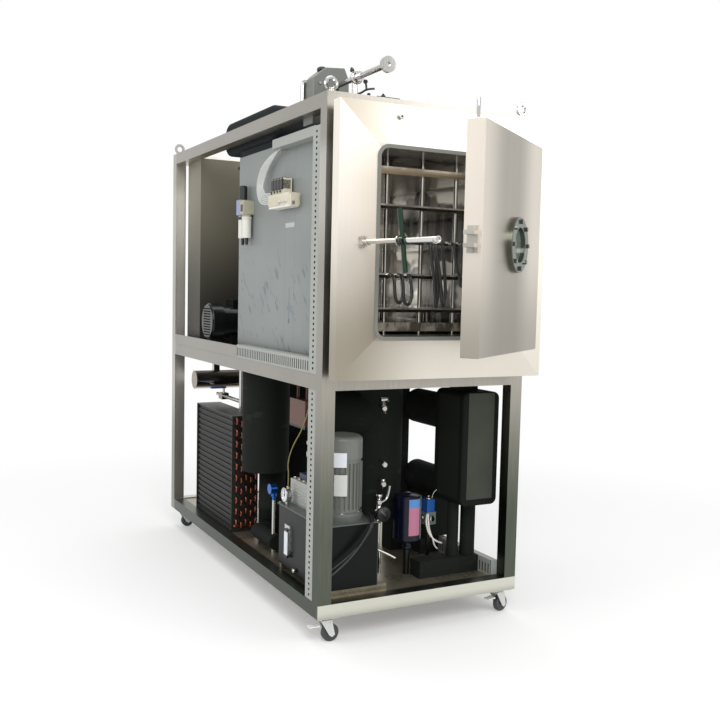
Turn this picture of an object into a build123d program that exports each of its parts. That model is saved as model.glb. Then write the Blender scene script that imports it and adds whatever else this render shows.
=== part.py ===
from build123d import *
from math import cos, radians, sin
import os

# Pilot freeze dryer: stainless frame on casters, shelf chamber with side-hung door above,
# refrigeration and hydraulics below. Millimetres, +Z up, front towards -Y, origin on the
# floor under the middle of the frame.

# ---- driving dimensions ----
# frame of square tube
frame_width = 830.0
frame_depth = 1780.0
frame_height = 1775.0
tube = 50.0
tube_wall = 2.0
middle_rail_height = 786.0  # underside of the middle rails above the underside of the frame

# casters
wheel_diameter = 62.0
wheel_width = 24.0
caster_height = 97.0
caster_inset = 48.0
caster_trail = 22.0
caster_plate = 84.0
caster_plate_thickness = 4.0
axle_radius = 5.0
bearing_gap = 0.08

# floor and deck
pan_thickness = 3.0
pan_drop = 4.0
deck_thickness = 2.0
upstand_height = 50.0

# front plate and chamber
plate_bottom_above_rail = 43.0
plate_height = 907.0
plate_margin = 131.0
plate_depth = 47.0
plate_gap = 50.0
plate_rise = 12.0
sheet = 3.0
gasket_width = 14.0
gasket_height = 4.0
mouth_radius = 30.0
chamber_depth = 980.0
chamber_wall = 4.0
jacket_side = 78.0
jacket_back = 110.0
jacket_top_above_chamber = 108.0
cladding = 2.0

# door
door_overlap_x = 22.0
door_overlap_z = 27.5
door_thickness = 58.0
door_skin = 3.0
door_gap = 1.0
door_open_angle = 36.0
hinge_offset_x = 21.0
hinge_behind_front = 39.0
hinge_pin_radius = 7.0
hinge_barrel_radius = 12.0
hinge_barrel_length = 70.0
hinge_spacing = 480.0
sight_opening_radius = 62.0
sight_flange_radius = 90.0
sight_flange_thickness = 16.0
sight_glass_thickness = 12.0
sight_offset_x = 26.0
bolt_count = 8

# swing bolt latch
latch_x = 82.0
latch_pivot_out = 18.0  # pivot in front of the plate
latch_swing = 2.0  # bolt turned in from straight ahead
latch_sag = 1.0  # play in the pivot lets the rod's end drop
latch_rod_radius = 8.0
latch_rod_length = 426.0
latch_hub_distance = 228.0
latch_hub_radius = 13.0
latch_hub_length = 26.0
latch_sleeve_radius = 9.5
latch_sleeve_length = 154.0
latch_collar_radius = 10.0
latch_collar_length = 22.0
latch_bar_length = 195.0
latch_bar_radius = 8.0
latch_bar_tilt = -8.0
washer_radius = 16.0
washer_thickness = 6.0
fork_gap = 26.0
fork_prong = 12.0
fork_depth = 34.0
fork_base = 5.0
fork_tip_x = 72.0

# shelves
shelf_width = 450.0
shelf_depth = 700.0
shelf_thickness = 16.0
shelf_pitch = 119.0
shelf_count = 4
first_gap = 36.0
shelf_front_inset = 135.0
pressing_plate_thickness = 30.0
top_plate_thickness = 25.0
floor_clearance = 12.0
rod_radius = 8.0
rod_inset = 25.0  # from the shelves' front and back edges
rod_clearance = 1.0
rod_x = (-156.0, -12.0, 130.0)
ram_radius = 28.0
ram_travel = 200.0
header_radius = 9.0
hose_radius = 7.0

half_w = frame_width / 2
half_d = frame_depth / 2
base = caster_height
top = base + frame_height
rail_low = base + tube
mid_low = base + middle_rail_height
mid_top = mid_low + tube
plate_face = -half_d - plate_gap - plate_depth  # plane of the front plate's rim
mouth_face = plate_face - plate_rise
chamber_front = mouth_face + sheet
shelf_front = chamber_front + shelf_front_inset
shelf_mid_y = shelf_front + shelf_depth / 2
pan_top = rail_low - pan_drop
deck_top = mid_top + deck_thickness
inner_x = half_w - tube
inner_y = half_d - tube

os.makedirs("parts", exist_ok=True)


def save(name, part):
    part.label = name
    export_step(part, f"parts/{name}.step")
    print(name, round(part.volume / 1000.0, 1), "cm3")


def spot(x, y, z):
    """x from the left side, y from the front and z from the floor, as a plane."""
    return Plane(origin=(x - half_w, y - half_d, z))


LOW = (Align.MIN, Align.MIN, Align.MIN)
STAND = (Align.CENTER, Align.CENTER, Align.MIN)

# ---- frame ----
with BuildPart() as posts:
    with Locations(*[(sx * (half_w - tube / 2), sy * (half_d - tube / 2), base) for sx in (-1, 1) for sy in (-1, 1)]):
        Box(tube, tube, frame_height, align=STAND)
    with Locations(*[(sx * (half_w - tube / 2), sy * (half_d - tube / 2), base) for sx in (-1, 1) for sy in (-1, 1)]):
        Box(tube - 2 * tube_wall, tube - 2 * tube_wall, frame_height - tube_wall, align=STAND, mode=Mode.SUBTRACT)
save("frame_posts", posts.part)


def rail_set(z):
    """Four square tubes between the posts, undersides at z."""
    with BuildPart() as ring:
        for outer, mode in ((tube, Mode.ADD), (tube - 2 * tube_wall, Mode.SUBTRACT)):
            with Locations(*[(0, s * (half_d - tube / 2), z + tube / 2) for s in (-1, 1)]):
                Box(2 * inner_x, outer, outer, mode=mode)
            with Locations(*[(s * (half_w - tube / 2), 0, z + tube / 2) for s in (-1, 1)]):
                Box(outer, 2 * inner_y, outer, mode=mode)
    return ring.part


with BuildPart() as rails:
    for level in (base, mid_low, top - tube):
        add(rail_set(level))
save("frame_rails", rails.part)

# lifting eyes on the post tops
eye_ring_radius = 19.0
eye_wire = 7.0
eye_collar_radius = 11.0
eye_collar_height = 8.0
with BuildPart() as eye:
    Cylinder(eye_collar_radius, eye_collar_height, align=STAND)
    with BuildSketch(Plane.XY.offset(eye_collar_height + eye_ring_radius)) as wire:
        with Locations((eye_ring_radius, 0)):
            RegularPolygon(eye_wire, 6)
    revolve(wire.sketch, axis=Axis((0, 0, eye_collar_height + eye_ring_radius), (0, 1, 0)))
with BuildPart() as eyes:
    with Locations(*[(sx * (half_w - tube / 2), sy * (half_d - tube / 2), top) for sx in (-1, 1) for sy in (-1, 1)]):
        add(eye.part)
save("eye_bolts", eyes.part)

# ---- floor pan and deck ----
with BuildPart(Plane.XY.offset(pan_top - pan_thickness)) as pan:
    Box(2 * inner_x, 2 * inner_y, pan_thickness, align=STAND)

duct_size = 40.0
duct_depth = 60.0
duct_front = 52.0  # front side of the upright wire ducts, from the frame's front
duct_left = 2.0
deck_duct_end = 841.0
with BuildPart(Plane.XY.offset(mid_top)) as deck:
    Box(frame_width - 4.0, 2 * inner_y, deck_thickness, align=STAND)
    with BuildSketch(spot(2.0, deck_duct_end, mid_top)) as lip_sketch:
        Rectangle(deck_thickness, frame_depth - tube - deck_duct_end, align=(Align.MIN, Align.MIN))
    extrude(lip_sketch.sketch, amount=upstand_height)
    with Locations((0, shelf_mid_y)):
        Cylinder(ram_radius + 2 * rod_clearance, 2 * deck_thickness, mode=Mode.SUBTRACT)
save("equipment_deck", deck.part)

# ---- casters ----
fork_thickness = 3.0
fork_inner = wheel_width + 6.0
fork_width = 34.0
stem_radius = 6.0
swivel_height = 12.0
fork_top = base - caster_plate_thickness - swivel_height
pedal_length = 34.0
pedal_thickness = 4.0
pedal_barrel_radius = 4.0
pedal_gap = 1.0
pedal_drop = 20.0  # pedal pivot under the fork's top
corner_spots = {
    "front_left": (-1, -1),
    "front_right": (1, -1),
    "back_left": (-1, 1),
    "back_right": (1, 1),
}
corner_x = half_w - caster_inset
corner_y = half_d - caster_inset
with BuildPart() as plates:
    with Locations(*[(sx * corner_x, sy * corner_y, base) for sx, sy in corner_spots.values()]):
        Box(caster_plate, caster_plate, caster_plate_thickness, align=(Align.CENTER, Align.CENTER, Align.MAX))
    with Locations(*[(sx * corner_x, sy * corner_y, base - caster_plate_thickness) for sx, sy in corner_spots.values()]):
        Cylinder(stem_radius, swivel_height + fork_thickness + 2.0, align=(Align.CENTER, Align.CENTER, Align.MAX))

rigid_forks = []
caster_turn = {"front_left": 0.0, "front_right": 15.0, "back_left": 0.0, "back_right": 0.0}
for corner, (sx, sy) in corner_spots.items():
    swivel = Plane(origin=(sx * corner_x, sy * corner_y, 0), x_dir=(cos(radians(caster_turn[corner])), sin(radians(caster_turn[corner])), 0), z_dir=(0, 0, 1))
    with BuildPart(swivel) as fork:
        with Locations((0, 0, fork_top)):
            Box(fork_width + 8.0, fork_inner + 2 * fork_thickness, fork_thickness, align=(Align.CENTER, Align.CENTER, Align.MAX))
            Cylinder(stem_radius + 9.0, swivel_height - 1.0, align=STAND)
        for side in (-1, 1):
            with BuildSketch(Plane(origin=swivel.from_local_coords((0, side * (fork_inner / 2 + fork_thickness), 0)), x_dir=swivel.x_dir, z_dir=-swivel.y_dir)) as cheek:
                with BuildLine():
                    Polyline(
                        (-fork_width / 2 - 4.0, fork_top),
                        (fork_width / 2 + 4.0, fork_top),
                        (caster_trail + 11.0, wheel_diameter / 2 - 4.0),
                        (caster_trail, wheel_diameter / 2 - 12.0),
                        (caster_trail - 11.0, wheel_diameter / 2 - 4.0),
                        close=True,
                    )
                make_face()
            extrude(cheek.sketch, amount=-side * fork_thickness)
        with Locations((0, 0, 0)):
            Cylinder(stem_radius + bearing_gap, base, align=STAND, mode=Mode.SUBTRACT)
        with Locations(Location((caster_trail, 0, wheel_diameter / 2), (90, 0, 0))):
            Cylinder(axle_radius, fork_inner + 2 * fork_thickness + 6.0)
    if sy < 0:
        save(f"caster_fork_{corner}", fork.part)
    else:
        rigid_forks.append(fork.part)
    if sy < 0:
        with BuildPart(swivel) as pedal:
            pedal_x = -fork_width / 2 - 4.0 - pedal_gap - pedal_barrel_radius
            with Locations((pedal_x, 0, fork_top - pedal_drop)):
                Box(pedal_length, fork_inner - 4.0, pedal_thickness, align=(Align.MAX, Align.CENTER, Align.CENTER))
                Cylinder(pedal_barrel_radius, fork_inner - 4.0, rotation=(90, 0, 0))
        save(f"brake_pedal_{corner}", pedal.part)
    with BuildPart(swivel) as wheel:
        with Locations(Location((caster_trail, 0, wheel_diameter / 2), (90, 0, 0))):
            Cylinder(wheel_diameter / 2, wheel_width)
            Cylinder(axle_radius + bearing_gap, wheel_width + 2.0, mode=Mode.SUBTRACT)
        chamfer(wheel.edges().filter_by(GeomType.CIRCLE).sort_by(SortBy.RADIUS)[-2:], 4.0)
    save(f"caster_wheel_{corner}", wheel.part)
with BuildPart() as mounts:
    add(plates.part)
    for rigid in rigid_forks:
        add(rigid)
save("caster_mounts", mounts.part)

# ---- front plate: raised picture frame round the chamber mouth ----
plate_low = mid_low + plate_bottom_above_rail
plate_top = plate_low + plate_height
plate_mid = (plate_low + plate_top) / 2
seat_width = frame_width - 2 * plate_margin
seat_height = plate_height - 2 * plate_margin
mouth_width = seat_width - 2 * gasket_width
mouth_height = seat_height - 2 * gasket_width


def upright(y, x=0.0, z=0.0):
    """A plane facing the front at depth y, its x to the right and its y up."""
    return Plane(origin=(x, y, z), x_dir=(1, 0, 0), z_dir=(0, -1, 0))


with BuildPart() as front_plate:
    for shrink, mode in ((0.0, Mode.ADD), (sheet, Mode.SUBTRACT)):
        with BuildSketch(upright(plate_face + plate_depth, 0, plate_mid)):
            Rectangle(frame_width - 2 * shrink, plate_height - 2 * shrink)
        extrude(amount=plate_depth - shrink, mode=mode)
        with BuildSketch(upright(plate_face + shrink, 0, plate_mid)):
            Rectangle(frame_width - 2 * shrink, plate_height - 2 * shrink)
        with BuildSketch(upright(mouth_face + shrink, 0, plate_mid)):
            Rectangle(seat_width, seat_height)
        loft(mode=mode)
    with BuildSketch(upright(plate_face + plate_depth, 0, plate_mid)):
        RectangleRounded(mouth_width, mouth_height, mouth_radius)
    extrude(amount=plate_depth + plate_rise, mode=Mode.SUBTRACT)
save("front_plate", front_plate.part)

with BuildPart() as gasket:
    with BuildSketch(upright(mouth_face, 0, plate_mid)):
        RectangleRounded(seat_width - 4.0, seat_height - 4.0, mouth_radius + gasket_width - 2.0)
        RectangleRounded(mouth_width, mouth_height, mouth_radius, mode=Mode.SUBTRACT)
    extrude(amount=gasket_height)
save("mouth_gasket", gasket.part)

# ---- chamber shell, foam jacket and side cladding ----
chamber_back = chamber_front + chamber_depth
with BuildPart() as chamber:
    with BuildSketch(upright(chamber_back + chamber_wall, 0, plate_mid)):
        RectangleRounded(mouth_width + 2 * chamber_wall, mouth_height + 2 * chamber_wall, mouth_radius + chamber_wall)
    extrude(amount=chamber_depth + chamber_wall)
    with BuildSketch(upright(chamber_back, 0, plate_mid)):
        RectangleRounded(mouth_width, mouth_height, mouth_radius)
    extrude(amount=chamber_depth, mode=Mode.SUBTRACT)
    with Locations((0, shelf_mid_y, plate_mid - mouth_height / 2)):
        Cylinder(ram_radius + rod_clearance, 4 * chamber_wall, mode=Mode.SUBTRACT)
jacket_front = plate_face + plate_depth
jacket_rear = chamber_back + chamber_wall + jacket_back
jacket_half = mouth_width / 2 + chamber_wall + jacket_side
jacket_top = plate_mid + mouth_height / 2 + jacket_top_above_chamber
save("chamber_shell", chamber.part)

with BuildPart(Plane.XY.offset(deck_top)) as jacket:
    with Locations((0, jacket_front, 0)):
        Box(2 * jacket_half, jacket_rear - jacket_front, jacket_top - deck_top, align=(Align.CENTER, Align.MIN, Align.MIN))
    with BuildSketch(upright(chamber_back + chamber_wall, 0, plate_mid)) as hollow:
        RectangleRounded(mouth_width + 2 * chamber_wall, mouth_height + 2 * chamber_wall, mouth_radius + chamber_wall)
    extrude(hollow.sketch, amount=chamber_depth + chamber_wall, mode=Mode.SUBTRACT)
    with Locations((0, shelf_mid_y, 0)):
        Cylinder(ram_radius + 2 * rod_clearance, mouth_height / 2, align=STAND, mode=Mode.SUBTRACT)
clad_low = 41.0  # lower edge above the deck
clad_top_drop = 26.0
clad_front = 55.0
with BuildPart() as clad:
    for side in (-1, 1):
        with BuildSketch(Plane(origin=(side * jacket_half, 0, 0), x_dir=(0, 1, 0), z_dir=(1, 0, 0))):
            with Locations((-half_d + clad_front, deck_top + clad_low)):
                Rectangle(jacket_rear + half_d - clad_front, jacket_top - clad_top_drop - deck_top - clad_low, align=(Align.MIN, Align.MIN))
        extrude(amount=side * cladding)
save("side_cladding", clad.part)

# insulated vapour line on the jacket's top
vapour_width = 300.0
vapour_length = 596.0
vapour_height = 144.0
vapour_round = 58.0
vapour_front = 600.0
with BuildPart(spot(half_w - jacket_half, vapour_front, jacket_top)) as vapour:
    Box(vapour_width, vapour_length, vapour_height, align=LOW)
    fillet(vapour.edges().filter_by(Axis.X), vapour_round)
    fillet(vapour.edges().filter_by(Axis.Y), vapour_round / 3)
with BuildPart() as foam:
    add(jacket.part)
    add(vapour.part)
save("chamber_jacket", foam.part)

# ---- shelves, guide rods, ram and fluid headers ----
chamber_floor = plate_mid - mouth_height / 2
chamber_roof = plate_mid + mouth_height / 2
press_low = chamber_floor + floor_clearance
press_top = press_low + pressing_plate_thickness
rod_y = (shelf_front + rod_inset, shelf_front + shelf_depth - rod_inset)
rod_spots = [(x, y) for x in rod_x for y in rod_y]


def tray(z, thickness, hole):
    """A shelf plate with its underside at z and round holes for the guide rods."""
    with BuildPart(Plane.XY.offset(z)) as plate:
        with Locations((0, shelf_mid_y)):
            Box(shelf_width, shelf_depth, thickness, align=STAND)
        with Locations(*rod_spots):
            Cylinder(hole, thickness, align=STAND, mode=Mode.SUBTRACT)
    return plate.part


top_plate_low = press_top + first_gap + shelf_count * shelf_pitch
save("top_plate", tray(top_plate_low, top_plate_thickness, rod_radius))
shelf_low = [press_top + first_gap + i * shelf_pitch for i in range(shelf_count)]
for i, z in enumerate(shelf_low):
    save(f"shelf_{i + 1}", tray(z, shelf_thickness, rod_radius + rod_clearance))
with BuildPart() as press:
    add(tray(press_low, pressing_plate_thickness, rod_radius + rod_clearance))
    with Locations(*[(x * shelf_width / 4, shelf_mid_y + y * shelf_depth / 4, press_top) for x in (-1, 1) for y in (-1, 1)]):
        Cylinder(12.0, first_gap, align=STAND)
    with Locations((0, shelf_mid_y, press_low)):
        Cylinder(ram_radius, press_low - deck_top + 260.0, align=(Align.CENTER, Align.CENTER, Align.MAX))
save("pressing_plate", press.part)
header_y = shelf_front - 30.0
header_x = [-shelf_width / 2 + 6.0, shelf_width / 2 - 6.0]
with BuildPart() as rods:
    with Locations(*[(x, y, chamber_floor) for x, y in rod_spots]):
        Cylinder(rod_radius, mouth_height, align=STAND)
    with Locations(*[(x, header_y, chamber_floor) for x in header_x]):
        Cylinder(header_radius, mouth_height, align=STAND)
save("guide_rods", rods.part)

# each hose loops down from a header and up to the front edge of its shelf
hose_reach = {"shelf_hose_2": 92.0, "shelf_hose_3": 150.0}
hose_drop = {"shelf_hose_2": 60.0, "shelf_hose_3": 150.0}
for name, side, low in zip(hose_reach, (-1, 1), shelf_low[1:3]):
    reach = hose_reach[name]
    drop = hose_drop[name]
    level = low + shelf_thickness / 2
    near = header_x[1 if side > 0 else 0] - side * header_radius
    far = near - side * reach
    with BuildPart() as hose:
        with BuildLine() as hose_path:
            FilletPolyline(
                (near, header_y, level),
                (near - side * 16.0, header_y, level),
                (near - side * 16.0, header_y, level - drop),
                (far, header_y, level - drop),
                (far, header_y, level),
                (far, shelf_front, level),
                radius=14.0,
            )
        with BuildSketch(Plane(origin=hose_path.line @ 0, z_dir=hose_path.line % 0)):
            Circle(hose_radius)
        sweep()
    save(name, hose.part)

# ---- door ----
door_width = seat_width + 2 * door_overlap_x
door_height = seat_height + 2 * door_overlap_z
door_back = mouth_face - gasket_height - door_gap
door_front = door_back - door_thickness
hinge_x = door_width / 2 + hinge_offset_x
hinge_y = door_front + hinge_behind_front
sight_x = sight_offset_x
hinge_line = Axis((hinge_x, hinge_y, 0), (0, 0, 1))
knuckle = hinge_barrel_length / 3
hinge_z = [plate_mid - hinge_spacing / 2, plate_mid + hinge_spacing / 2]


def opened(part):
    return part.rotate(hinge_line, door_open_angle)


with BuildPart() as door:
    with BuildSketch(upright(door_back, 0, plate_mid)):
        RectangleRounded(door_width, door_height, 4.0)
    extrude(amount=door_thickness)
    chamfer(door.faces().sort_by(Axis.Y)[0].edges(), 2.0)
    with BuildSketch(upright(door_back, 0, plate_mid)):
        with Locations((sight_x, 0)):
            Circle(sight_opening_radius)
    extrude(amount=door_thickness, mode=Mode.SUBTRACT)
    for z in hinge_z:
        with Locations((hinge_x, hinge_y, z)):
            Cylinder(hinge_barrel_radius, knuckle - 1.0)
        with Locations(((door_width / 2 + hinge_x) / 2, hinge_y, z)):
            Box(hinge_offset_x, hinge_barrel_radius, knuckle - 1.0)
        with Locations((hinge_x, hinge_y, z)):
            Cylinder(hinge_pin_radius + bearing_gap, knuckle + 2.0, mode=Mode.SUBTRACT)
save("door", opened(door.part))

with BuildPart() as brackets:
    for z in hinge_z:
        for s in (-1, 1):
            with Locations((hinge_x, hinge_y, z + s * knuckle)):
                Cylinder(hinge_barrel_radius, knuckle - 1.0)
            with BuildSketch(Plane(origin=(0, 0, z + s * knuckle - (knuckle - 1.0) / 2))) as ear:
                with BuildLine():
                    Polyline(
                        (hinge_x - 2.0, hinge_y),
                        (hinge_x + 26.0, plate_face - plate_rise / 2),
                        (hinge_x + 26.0, plate_face + 0.5),
                        (hinge_x + 2.0, plate_face + 0.5),
                        (hinge_x - 2.0, hinge_y + hinge_barrel_radius),
                        close=True,
                    )
                make_face()
            extrude(ear.sketch, amount=knuckle - 1.0)
        with Locations((hinge_x, hinge_y, z)):
            Cylinder(hinge_pin_radius, hinge_barrel_length + 8.0)

with BuildPart() as flange:
    with BuildSketch(upright(door_front, 0, plate_mid)):
        with Locations((sight_x, 0)):
            Circle(sight_flange_radius)
            Circle(sight_opening_radius - 6.0, mode=Mode.SUBTRACT)
    extrude(amount=sight_flange_thickness)
    chamfer(flange.faces().sort_by(Axis.Y)[0].edges(), 2.0)
with BuildPart() as glass:
    with BuildSketch(upright(door_front + sight_glass_thickness, 0, plate_mid)):
        with Locations((sight_x, 0)):
            Circle(sight_opening_radius)
    extrude(amount=sight_glass_thickness)
save("sight_glass", opened(glass.part))
bolt_circle = (sight_opening_radius + sight_flange_radius) / 2 - 1.0
with BuildPart() as sight_bolts:
    with BuildSketch(upright(door_front - sight_flange_thickness, 0, plate_mid)):
        with Locations((sight_x, 0)):
            with PolarLocations(bolt_circle, bolt_count):
                RegularPolygon(7.5, 6)
    extrude(amount=7.0)
with BuildPart() as inner_flange:
    with BuildSketch(upright(door_back + 4.0, 0, plate_mid)):
        with Locations((sight_x, 0)):
            Circle(sight_opening_radius + 14.0)
            Circle(sight_opening_radius - 6.0, mode=Mode.SUBTRACT)
    extrude(amount=4.0)
with BuildPart() as sight:
    add(flange.part)
    add(inner_flange.part)
    add(sight_bolts.part)
save("sight_flange", opened(sight.part))

# ---- fork on the door and swing bolt on the plate ----
bolt_x = latch_x - half_w
bolt_y = plate_face - latch_pivot_out
bolt_line = Axis((bolt_x, bolt_y, 0), (0, 0, 1))
fork_y = door_back - door_thickness / 2
fork_tip = fork_tip_x - half_w
fork_screw_radius = 6.0
fork_screw_height = 5.0
with BuildPart() as latch_fork:
    with Locations((-door_width / 2, fork_y, plate_mid)):
        Box(fork_base, fork_depth, fork_gap + 2 * fork_prong + 30.0, align=(Align.MAX, Align.CENTER, Align.CENTER))
    for s in (-1, 1):
        with Locations(((fork_tip - door_width / 2) / 2, fork_y, plate_mid + s * (fork_gap + fork_prong) / 2)):
            Box(-door_width / 2 - fork_tip, fork_depth, fork_prong)
        screw_z = plate_mid + s * (fork_gap / 2 + fork_prong + 8.0)
        with Locations(Location((-door_width / 2 - fork_base, fork_y, screw_z), (0, -90, 0))):
            Cylinder(fork_screw_radius, fork_screw_height, align=STAND)
save("latch_fork", opened(latch_fork.part))

pivot_radius = 5.0
barrel_radius = 9.0
barrel_length = 20.0
ear_thickness = 6.0
ear_width = 22.0
bracket_thickness = 4.0
with BuildPart() as latch_bracket:
    with Locations((bolt_x, plate_face - bracket_thickness / 2, plate_mid)):
        Box(46.0, bracket_thickness, 56.0)
    for s in (-1, 1):
        ear_z = plate_mid + s * (barrel_length / 2 + 1.0 + ear_thickness / 2)
        with Locations((bolt_x, bolt_y - barrel_radius, ear_z)):
            Box(ear_width, latch_pivot_out + barrel_radius, ear_thickness, align=(Align.CENTER, Align.MIN, Align.CENTER))
    with Locations((bolt_x, bolt_y, plate_mid)):
        Cylinder(pivot_radius, barrel_length + 2 * ear_thickness + 8.0)
with BuildPart() as fittings:
    add(brackets.part - front_plate.part)
    add(latch_bracket.part - front_plate.part)
save("plate_fittings", fittings.part)


latch_point = (bolt_x, bolt_y, plate_mid)
sag_line = Axis(latch_point, (1, 0, 0))
tilt_line = Axis(latch_point, (0, 1, 0))


def along_rod(distance):
    """The plane square to the rod at this distance in front of its pivot, before it is swung."""
    return upright(bolt_y - distance, bolt_x, plate_mid)


def swung(part):
    return part.rotate(bolt_line, latch_swing)


with BuildPart() as rod:
    with BuildSketch(along_rod(0.0)):
        Circle(latch_rod_radius)
    extrude(amount=latch_rod_length)
    with Locations(latch_point):
        Cylinder(barrel_radius - 1.0, 2 * latch_rod_radius + 4.0, mode=Mode.SUBTRACT)
with BuildPart() as swing_bolt:
    with Locations(latch_point):
        Cylinder(barrel_radius, barrel_length)
    add(rod.part.rotate(sag_line, latch_sag))
    with Locations(latch_point):
        Cylinder(pivot_radius + bearing_gap, barrel_length + 2.0, mode=Mode.SUBTRACT)
save("swing_bolt", swung(swing_bolt.part))

with BuildPart() as washer:
    with BuildSketch(along_rod(latch_hub_distance - washer_thickness)):
        Circle(washer_radius)
        Circle(latch_rod_radius + bearing_gap, mode=Mode.SUBTRACT)
    extrude(amount=washer_thickness - 0.3)
save("clamp_washer", swung(washer.part.rotate(sag_line, latch_sag)))
sleeve_start = latch_hub_distance + latch_hub_length
collar_start = sleeve_start + latch_sleeve_length
with BuildPart() as handle:
    with BuildSketch(along_rod(latch_hub_distance)):
        Circle(latch_hub_radius)
    extrude(amount=latch_hub_length)
    with Locations((bolt_x, bolt_y - latch_hub_distance - latch_hub_length / 2, plate_mid)):
        Cylinder(latch_bar_radius, latch_bar_length)
    with BuildSketch(along_rod(sleeve_start)):
        Circle(latch_sleeve_radius)
    extrude(amount=latch_sleeve_length)
    with BuildSketch(along_rod(collar_start)):
        Circle(latch_collar_radius)
    extrude(amount=latch_collar_length)
    with BuildSketch(along_rod(latch_hub_distance)):
        Circle(latch_rod_radius + bearing_gap)
    extrude(amount=latch_hub_length + latch_sleeve_length + latch_collar_length, mode=Mode.SUBTRACT)
save("latch_handle", swung(handle.part.rotate(tilt_line, latch_bar_tilt).rotate(sag_line, latch_sag)))

# ---- hydraulic unit: tank on its bearers, motor, valve block, gauges and leads ----
tank_left = 48.0
tank_front = 65.0
tank_width = 220.0
tank_length = 405.0
tank_height = 226.0
lid_thickness = 6.0
bearer_height = 25.0
bearer_width = 20.0
motor_radius = 70.0
motor_body = 205.0
motor_y = 105.0  # motor centre behind the tank's front
fin_count = 28
fin_depth = 7.0
fin_width = 3.0
cowl_height = 82.0
motor_stand = 17.0
motor_plate = 12.0
cowl_round = 16.0
terminal_box = (60.0, 48.0, 54.0)
filler_radius = 26.0
filler_height = 30.0
tank_base = pan_top + bearer_height
lid_top = tank_base + tank_height + lid_thickness
motor_spot = (tank_left + tank_width / 2 + 5.0 - half_w, tank_front + motor_y - half_d)

with BuildPart() as pan_and_bearers:
    add(pan.part)
    with Locations(*[(tube - half_w + 2.0, tank_front + o - half_d, pan_top) for o in (6.0, tank_length - 6.0 - bearer_width)]):
        Box(tank_width + 34.0, bearer_width, bearer_height, align=LOW)
save("floor_pan", pan_and_bearers.part)

motor_base = lid_top + motor_stand
with BuildPart(spot(tank_left, tank_front, tank_base)) as tank:
    Box(tank_width, tank_length, tank_height, align=LOW)
    fillet(tank.edges().filter_by(Axis.Z), 6.0)
    with Locations((-4.0, -4.0, tank_height)):
        Box(tank_width + 8.0, tank_length + 8.0, lid_thickness, align=LOW)
    with Locations((tank_width * 0.75, tank_length * 0.85, tank_height + lid_thickness)):
        Cylinder(filler_radius, filler_height, align=STAND)
with BuildPart() as tank_set:
    add(tank.part)
    with Locations((*motor_spot, lid_top)):
        Cylinder(motor_radius + 12.0, motor_stand, align=STAND)
save("oil_tank", tank_set.part)

with BuildPart(Plane(origin=(*motor_spot, motor_base))) as motor:
    Cylinder(motor_radius + 8.0, motor_plate, align=STAND)
    with Locations((0, 0, motor_plate)):
        Cylinder(motor_radius, motor_body - motor_plate, align=STAND)
    with Locations((0, 0, 26.0)):
        with PolarLocations(motor_radius + fin_depth / 2 - 1.0, fin_count):
            Box(fin_depth + 2.0, fin_width, motor_body - 40.0, align=STAND)
    with BuildSketch(Plane(origin=(*motor_spot, motor_base + motor_body))):
        Circle(motor_radius + 6.0)
    extrude(amount=cowl_height)
    fillet(motor.faces().sort_by(Axis.Z)[-1].edges(), cowl_round)
    with Locations((0.0, motor_radius - 14.0, motor_body - 80.0)):
        Box(*terminal_box, align=(Align.CENTER, Align.MIN, Align.MIN))
save("hydraulic_motor", motor.part)

# valve block, pressure gauge, level gauge and the blue-capped valve behind the tank
gauge_radius = 27.0
gauge_x = 62.0
gauge_y = 425.0
gauge_thickness = 18.0
gauge_rise = 38.0  # middle of the dial above the lid
block_left = 96.0
block_width = 76.0
block_length = 160.0
block_height = 92.0
block_front = tank_front + tank_length - block_length
coil_size = (34.0, 60.0, 28.0)
with BuildPart(spot(block_left, block_front, lid_top)) as block:
    Box(block_width, block_length, block_height, align=LOW)
    with Locations((18.0, 56.0, block_height)):
        Box(*coil_size, align=LOW)
save("valve_block", block.part)

level_size = (8.0, 46.0, 96.0)
level_y = 345.0
level_rise = 72.0
stem_x = 110.0
stem_y = 675.0
stem_height = 232.0
cap_radius = 21.0
cap_length = 27.0
with BuildPart() as gauges:
    dial = Plane(origin=(gauge_x - half_w, gauge_y - half_d, lid_top + gauge_rise), x_dir=(0, 1, 0), z_dir=(-1, 0, 0))
    with BuildSketch(dial):
        Circle(gauge_radius)
    extrude(amount=gauge_thickness / 2, both=True)
    with Locations((gauge_x - half_w, gauge_y - half_d, lid_top)):
        Cylinder(6.0, 20.0, align=STAND)
    with Locations((tank_left - level_size[0] - half_w, level_y - half_d, tank_base + level_rise)):
        Box(*level_size, align=LOW)
    with Locations((stem_x - half_w, stem_y - half_d, pan_top)):
        Cylinder(6.0, stem_height, align=STAND)
        with Locations((0, 0, stem_height)):
            Cylinder(11.0, 14.0, align=STAND)
        with Locations(Location((-6.0, 0, stem_height + 14.0 + cap_radius - 4.0), (0, 90, 0))):
            Cylinder(cap_radius, cap_length)
save("gauges", gauges.part)

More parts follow.
